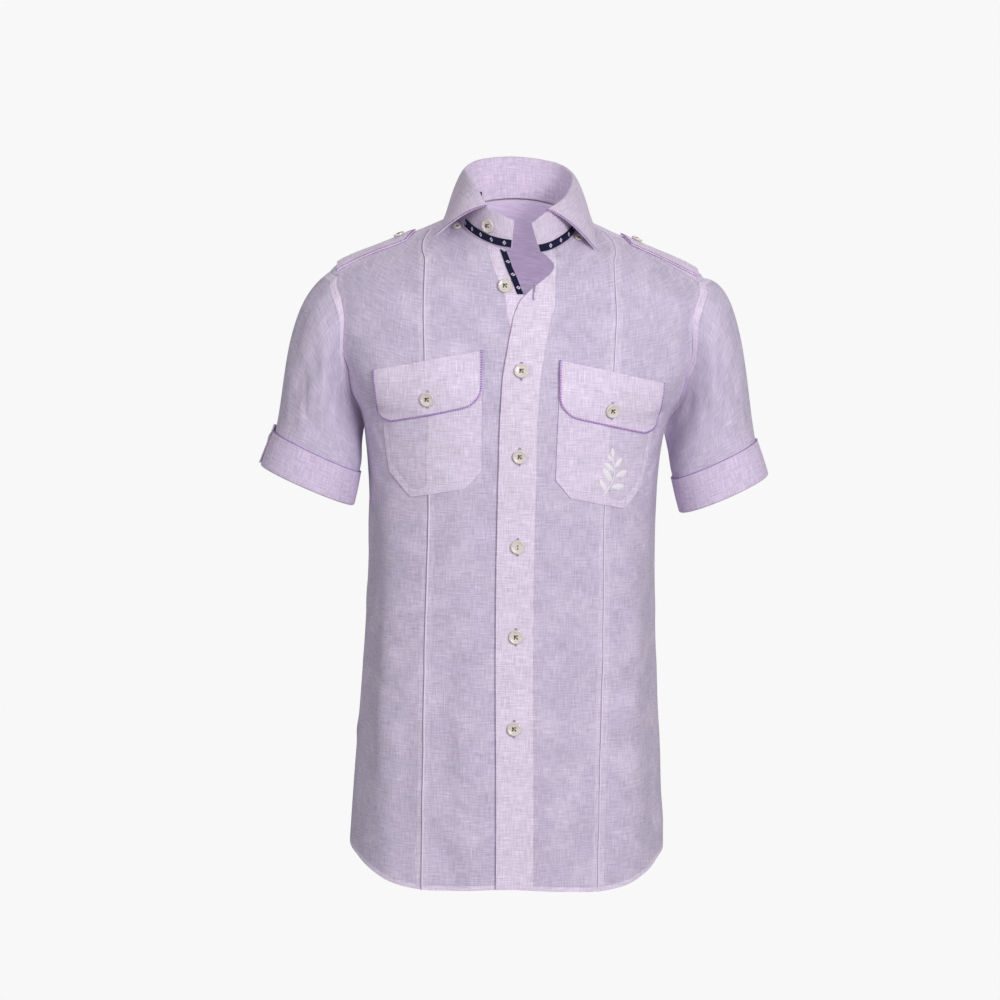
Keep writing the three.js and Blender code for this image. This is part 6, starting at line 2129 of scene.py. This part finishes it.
@dataclass
class Collar:
    """The stand, the fall, the dark tapes and the size tab."""

    turns: tuple[float, ...] = (24, 45, 70, 100, 140, 180, 220, 260, 290, 315, 336)
    fold: tuple[tuple[float, float, float], ...] = (
        (-40, -78, 17), (-52, -61, 37), (-60, -28, 52), (-62, 10, 61), (-43, 41, 72),
        (0, 52, 76), (43, 41, 70), (61, 10, 58), (60, -28, 44), (48, -62, 27), (28, -80, 14),
    )
    edge: tuple[tuple[float, float, float], ...] = (
        (-95, -60, -16), (-88, -33, -3), (-84, -6, 5), (-79, 26, 9), (-54, 54, 15),
        (0, 66, 20), (54, 54, 15), (79, 26, 9), (83, -6, 4), (84, -34, -8), (84, -60, -28),
    )
    swell: tuple[float, ...] = (5, 4, 3, 3, 4, 4, 4, 3, 3, 4, 5)
    right_ends: tuple[tuple[float, ...], ...] = ((7.5, -9, -85, 2), (15, -24, -84, 8))
    left_ends: tuple[tuple[float, ...], ...] = ((346, 10, -87, -1),)
    neck_y: float = -16.0
    inside_fold: float = 2.1
    under_fold: float = 1.4
    above_seam: float = 1.3
    stand_half: float = 0.9
    fall_half: float = 0.8
    roll: float = 1.9
    tape_half: float = 0.35
    tape_width: float = 8.5
    tape_off: float = 1.75
    tape_above_seam: float = 1.2
    button_turns: tuple[float, float, float] = (20.5, 24.5, 28.5)
    button_off: float = 1.0

    def read(self, table: tuple[tuple[float, ...], ...], turn: Array) -> Array:
        """Points of a table of rows for each turn."""
        columns = np.array(table, float).T
        return np.stack([table_curve(self.turns, column, turn) for column in columns], axis=-1)

    def radial(self, points: Array) -> Array:
        """The level way out from the middle of the neck."""
        return unit((points - np.array([0, self.neck_y, 0])) * np.array([1.0, 1.0, 0.0]))

    def stand_top(self, turn: Array) -> Array:
        """Points of the stand's top edge: the fold drawn in, and on to the two front ends."""
        fold = np.array(self.fold, float)
        drawn = fold - self.radial(fold) * self.inside_fold
        drawn[:, 2] = fold[:, 2] - self.under_fold
        rows = np.concatenate([np.array(self.right_ends)[:, 1:], drawn,
                               np.array(self.left_ends)[:, 1:]])
        keys = np.concatenate([[row[0] for row in self.right_ends], self.turns,
                               [row[0] for row in self.left_ends]])
        return np.stack([table_curve(keys, column, turn) for column in rows.T], axis=-1)

    def stand_point(self, turn: Array, share: Array | float) -> Array:
        """Points of the stand: a straight blend from the neck seam to its top edge."""
        turn, share = np.broadcast_arrays(np.asarray(turn, float), np.asarray(share, float))
        seam = BODY.point(-turn, neck_seam_level(-turn))
        seam[..., 2] += self.above_seam
        return seam + (self.stand_top(turn) - seam) * share[..., None]

    def fall_point(self, turn: Array, share: Array) -> Array:
        """Points of the fall: a blend from the fold to its edge, swelled outwards between."""
        turn, share = np.broadcast_arrays(np.asarray(turn, float), np.asarray(share, float))
        fold = self.read(self.fold, turn)
        edge = self.read(self.edge, turn)
        out = self.radial(edge) * 0.8
        out[..., 2] = 0.6
        swell = table_curve(self.turns, self.swell, turn) * np.sin(np.pi * share**0.75)
        return fold + (edge - fold) * share[..., None] + out * swell[..., None]

    def build(self, sewing: Sewing) -> None:
        """Makes every piece of the collar."""
        middle = np.array([0, self.neck_y, 0])
        turn = np.linspace(self.right_ends[0][0], self.left_ends[0][0], 150)[None, :]
        points = self.stand_point(turn, np.linspace(0, 1, 15)[:, None])
        out = grid_normals(points, middle)
        uv = grid_lengths(points)
        grid = ClothGrid(points, out, uv, self.stand_half, FAR_INSIDE, uv[..., 1])
        add_cloth("collar_stand", grid, COLLAR_LINEN)
        self.build_fall(middle, sewing)
        self.build_tapes(middle)
        near = self.stand_point(np.array([self.button_turns]), np.array([[0.5], [0.7]]))
        way = grid_normals(near, middle)[0, 1]
        at = near[0, 1] + way * (self.button_off + BUTTON_GAP)
        Button("stand_button", LARGE, at, way).build(sewing)

    def build_fall(self, middle: Array, sewing: Sewing) -> None:
        """Makes the fall: over the top of the stand by a roll, and out to its edge."""
        turn = np.linspace(self.turns[0], self.turns[-1], 130)
        leaf = self.fall_point(turn[None, :], np.linspace(0, 1, 25)[:, None])
        out = grid_normals(leaf, middle)
        fold = leaf[0]
        radial = self.radial(fold)
        up = np.array([0, 0, 1.0])
        start = math.radians(50)
        centre = fold - self.roll * (math.cos(start) * radial + math.sin(start) * up)
        bend = np.linspace(math.pi, start, 9)[:-1, None, None]
        ways = np.cos(bend) * radial + np.sin(bend) * up
        rolled = centre + self.roll * ways
        down = unit(self.stand_point(turn, 0.7) - self.stand_top(turn))
        tail = rolled[:1] + down * np.array([6.0, 3.0])[:, None, None]
        points = np.concatenate([tail, rolled, leaf])
        normals = np.concatenate([np.repeat(-radial[None], 2, axis=0), ways, out])
        uv = grid_lengths(points)
        edge = uv[-1:, :, 1] - uv[..., 1]
        ends = np.minimum(uv[..., 0], uv[:, -1:, 0] - uv[..., 0])
        grid = ClothGrid(points, normals, uv, self.fall_half, FAR_INSIDE,
                         np.minimum(edge, ends) + 2)
        add_cloth("collar_fall", grid, COLLAR_LINEN)
        top = points + normals * self.fall_half
        for column in (0, -1):
            sewing.overcast(top[8:, column], normals[8:, column], points[20, 65])

    def tape_point(self, turn: Array, share: Array) -> Array:
        """Points of the tape's middle surface before it is lifted off the stand."""
        height = np.linalg.norm(self.stand_top(turn) - self.stand_point(turn, 0.0), axis=-1)
        return self.stand_point(turn, (self.tape_above_seam + share * self.tape_width) / height)

    def build_tapes(self, middle: Array) -> None:
        """Makes the two tapes on the stand, the one down the under front and the size tab."""
        for side, turns in ((Side.RIGHT, (8.0, 58.0)), (Side.LEFT, (302.0, 345.5))):
            turn = np.linspace(*turns, 40)[None, :]
            points = self.tape_point(turn, np.linspace(0, 1, 5)[:, None])
            out = grid_normals(points, middle)
            points = points + out * self.tape_off
            grid = ClothGrid(points, out, grid_lengths(points), self.tape_half)
            add_cloth(f"stand_tape_{side.word}", grid, TAPE)
        points = self.stand_point(np.linspace(127, 134, 7)[None, :],
                                  np.linspace(0.1, 0.26, 6)[:, None])
        out = grid_normals(points, middle)
        points = points - out * self.tape_off
        grid = ClothGrid(points, -out, grid_lengths(points), self.tape_half)
        add_cloth("size_tab", grid, PLAIN_TAPE)
        front = FRONTS[Side.RIGHT]
        level = np.linspace(8.6, 9.9, 30)[:, None]
        x = rows_curve(UNDER_EDGE, level) - np.linspace(7.35, 0.35, 5)[None, :]
        levels = np.broadcast_to(level, x.shape)
        places = np.stack([BODY.angle_at_x(x, levels), levels], axis=-1)
        points, out = front.cloth(places, self.tape_off)
        uv = np.swapaxes(grid_lengths(np.swapaxes(points, 0, 1)), 0, 1)
        grid = ClothGrid(points, out, uv, self.tape_half)
        add_cloth("front_edge_tape", grid, TAPE)


@dataclass
class FrontButtons:
    """The buttons and buttonholes down the front, and the small ones under the collar."""

    line_x: float = 0.5
    heights: tuple[float, ...] = (-164, -258, -359, -460, -563)
    two_holed: int = 4
    open_spot: tuple[float, float] = (-18, -71)
    open_hole: tuple[float, float] = (13.5, -78)
    hole_length: float = 20.0
    open_hole_length: float = 16.0
    off: float = 1.0
    collar_spots: tuple[tuple[Side, float, float], ...] = (
        (Side.LEFT, 53, 9.78), (Side.RIGHT, -66, 9.86))

    def add(self, sewing: Sewing, name: str, front: Front, place: Array, **options: object) -> None:
        """Adds one button on a front."""
        off = self.off + BUTTON_GAP
        at, out = seat(lambda places: front.cloth(places, off)[0], place)
        Button(name, LARGE, at, out, **options).build(sewing)

    def build(self, sewing: Sewing) -> None:
        """Makes the buttons and buttonholes."""
        place = BODY.place_on_front(*self.open_spot)
        self.add(sewing, "front_button_1", FRONTS[Side.RIGHT], place)
        for number, z in enumerate(self.heights, 2):
            place = BODY.place_on_front(self.line_x, z)
            plain = number == self.two_holed
            self.add(sewing, f"front_button_{number}", FRONTS[Side.LEFT], place,
                     holes=2 if plain else 4, has_thread=not plain)
            sewing.buttonhole(Side.LEFT, self.line_x, z, self.hole_length, self.off)
        sewing.buttonhole(Side.LEFT, *self.open_hole, self.open_hole_length, self.off)
        for side, angle, level in self.collar_spots:
            at, out = seat(lambda places: BODY.cloth(places, self.off)[0], np.array([angle, level]))
            Button(f"collar_button_{side.word}", SMALL, at, out).build(sewing)


@dataclass
class Stage:
    """The pale floor, the soft lights and the camera."""

    target: tuple[float, float, float] = (-0.015, 0.0, -0.317)
    distance: float = 3.2
    azimuth: float = -2.5
    elevation: float = 5.0
    roll: float = 1.1
    focal: float = 100.2
    floor_z: float = -1.05
    floor_radius: float = 9.0

    def build(self) -> None:
        """Makes the floor, the world, the lights and the camera."""
        self.build_floor()
        self.build_world()
        self.build_light("key", (1.3, -2.9, 0.5), 1.1, 61.0)
        self.build_light("fill", (-2.0, -2.2, 0.1), 2.0, 16.0)
        self.build_light("rim", (0.2, 2.2, 1.4), 1.6, 16.0)
        self.build_light("inner", (0.0, -0.03, -0.33), 0.16, 0.3, (0.0, 0.07, 0.0))
        self.build_camera()
        view = bpy.context.scene.view_settings
        view.view_transform = "Standard"
        view.look = "None"

    def build_floor(self) -> None:
        """A flat pale disc under the shirt: a ring of the radius times the sine and cosine."""
        angle = np.linspace(0, 2 * np.pi, 97)[:-1]
        ring = np.stack([np.cos(angle) * self.floor_radius, np.sin(angle) * self.floor_radius,
                         np.full(96, self.floor_z)], axis=-1)
        points = np.concatenate([ring, [[0, 0, self.floor_z]]]) / METRES
        index = np.arange(96)
        faces = np.stack([index, np.roll(index, -1), np.full(96, 96)], axis=-1)
        floor = new_mesh("floor", points, [faces])
        material = bpy.data.materials.new("pale floor")
        material.use_nodes = True
        material.node_tree.nodes.clear()
        shader = Shader(material.node_tree)
        seen = shader.add("ShaderNodeLightPath").outputs["Is Camera Ray"]
        glow = shader.math("ADD", shader.math("MULTIPLY", seen, 0.75), 0.25)
        shader.surface((0.0, 0.0, 0.0, 1.0), None, Roughness=1.0, Specular_IOR_Level=0.0,
                       Emission_Color=srgb(248, 248, 248), Emission_Strength=glow)
        floor.data.materials.append(material)

    def build_world(self) -> None:
        """A pale world that the camera sees brighter than it lights."""
        world = bpy.data.worlds.new("studio")
        world.use_nodes = True
        bpy.context.scene.world = world
        world.node_tree.nodes.clear()
        shader = Shader(world.node_tree)
        seen = shader.add("ShaderNodeBackground", srgb(248, 248, 248), 1.0)
        light = shader.add("ShaderNodeBackground", (1, 1, 1, 1), 0.36)
        path = shader.add("ShaderNodeLightPath").outputs["Is Camera Ray"]
        mixed = shader.add("ShaderNodeMixShader", path, light.outputs[0], seen.outputs[0])
        output = shader.add("ShaderNodeOutputWorld")
        shader.tree.links.new(mixed.outputs[0], output.inputs[0])

    def place(
        self, thing: bpy.types.Object, at: Array, right: Array, up: Array, back: Array
    ) -> None:
        """Sets an object's place and its three axes."""
        matrix = np.eye(4)
        matrix[:3] = np.stack([right, up, back, at], axis=1)
        thing.matrix_world = Matrix(matrix.tolist())

    def build_light(
        self, name: str, at: tuple[float, float, float], size: float, power: float,
        aim: tuple[float, float, float] | None = None
    ) -> None:
        """A square soft light, unseen itself, that faces the shirt or the place it is aimed at."""
        light = bpy.data.lights.new(name, "AREA")
        light.size = size
        light.energy = power
        lamp = bpy.data.objects.new(name, light)
        bpy.context.scene.collection.objects.link(lamp)
        lamp.visible_camera = False
        way = unit(np.array(aim or self.target) - at)
        right = unit(np.cross(way, (0, 0, 1.0)))
        self.place(lamp, np.array(at), right, np.cross(right, way), -way)

    def build_camera(self) -> None:
        """The camera at the photograph's angle, turned clockwise by its roll."""
        data = bpy.data.cameras.new("camera")
        data.lens = self.focal
        data.sensor_width = 36.0
        camera = bpy.data.objects.new("camera", data)
        bpy.context.scene.collection.objects.link(camera)
        az = math.radians(self.azimuth)
        el = math.radians(self.elevation)
        roll = math.radians(self.roll)
        back = np.array([math.sin(az) * math.cos(el), -math.cos(az) * math.cos(el), math.sin(el)])
        level = np.array([math.cos(az), math.sin(az), 0.0])
        upright = np.cross(back, level)
        right = level * math.cos(roll) + upright * math.sin(roll)
        up = upright * math.cos(roll) - level * math.sin(roll)
        self.place(camera, np.array(self.target) + back * self.distance, right, up, back)
        bpy.context.scene.camera = camera


def main() -> None:
    """Builds the shirt and its stage."""
    logging.basicConfig(level=logging.INFO, format="%(name)s: %(message)s")
    sewing = Sewing()
    BodyPanels().build(sewing)
    Sleeve(Side.LEFT, Ring((276, -242), (183, -288)), Ring((290, -280), (193, -325)), 54.0,
           (1.0, -0.02), 0.72, -52.0, SLEEVE_CREASES[Side.LEFT]).build(sewing)
    Sleeve(Side.RIGHT, Ring((273, -242), (177, -286)), Ring((287, -279), (184, -322)), 52.0,
           (0.82, -0.57), 1.0, -20.0, SLEEVE_CREASES[Side.RIGHT]).build(sewing)
    for side, drop in ((Side.LEFT, -4.5), (Side.RIGHT, 4.5)):
        Pocket(side, drop).build(sewing)
        ShoulderStrap(side).build(sewing)
    Collar().build(sewing)
    FrontButtons().build(sewing)
    sewing.build()
    Stage().build()


if __name__ == "__main__":
    main()
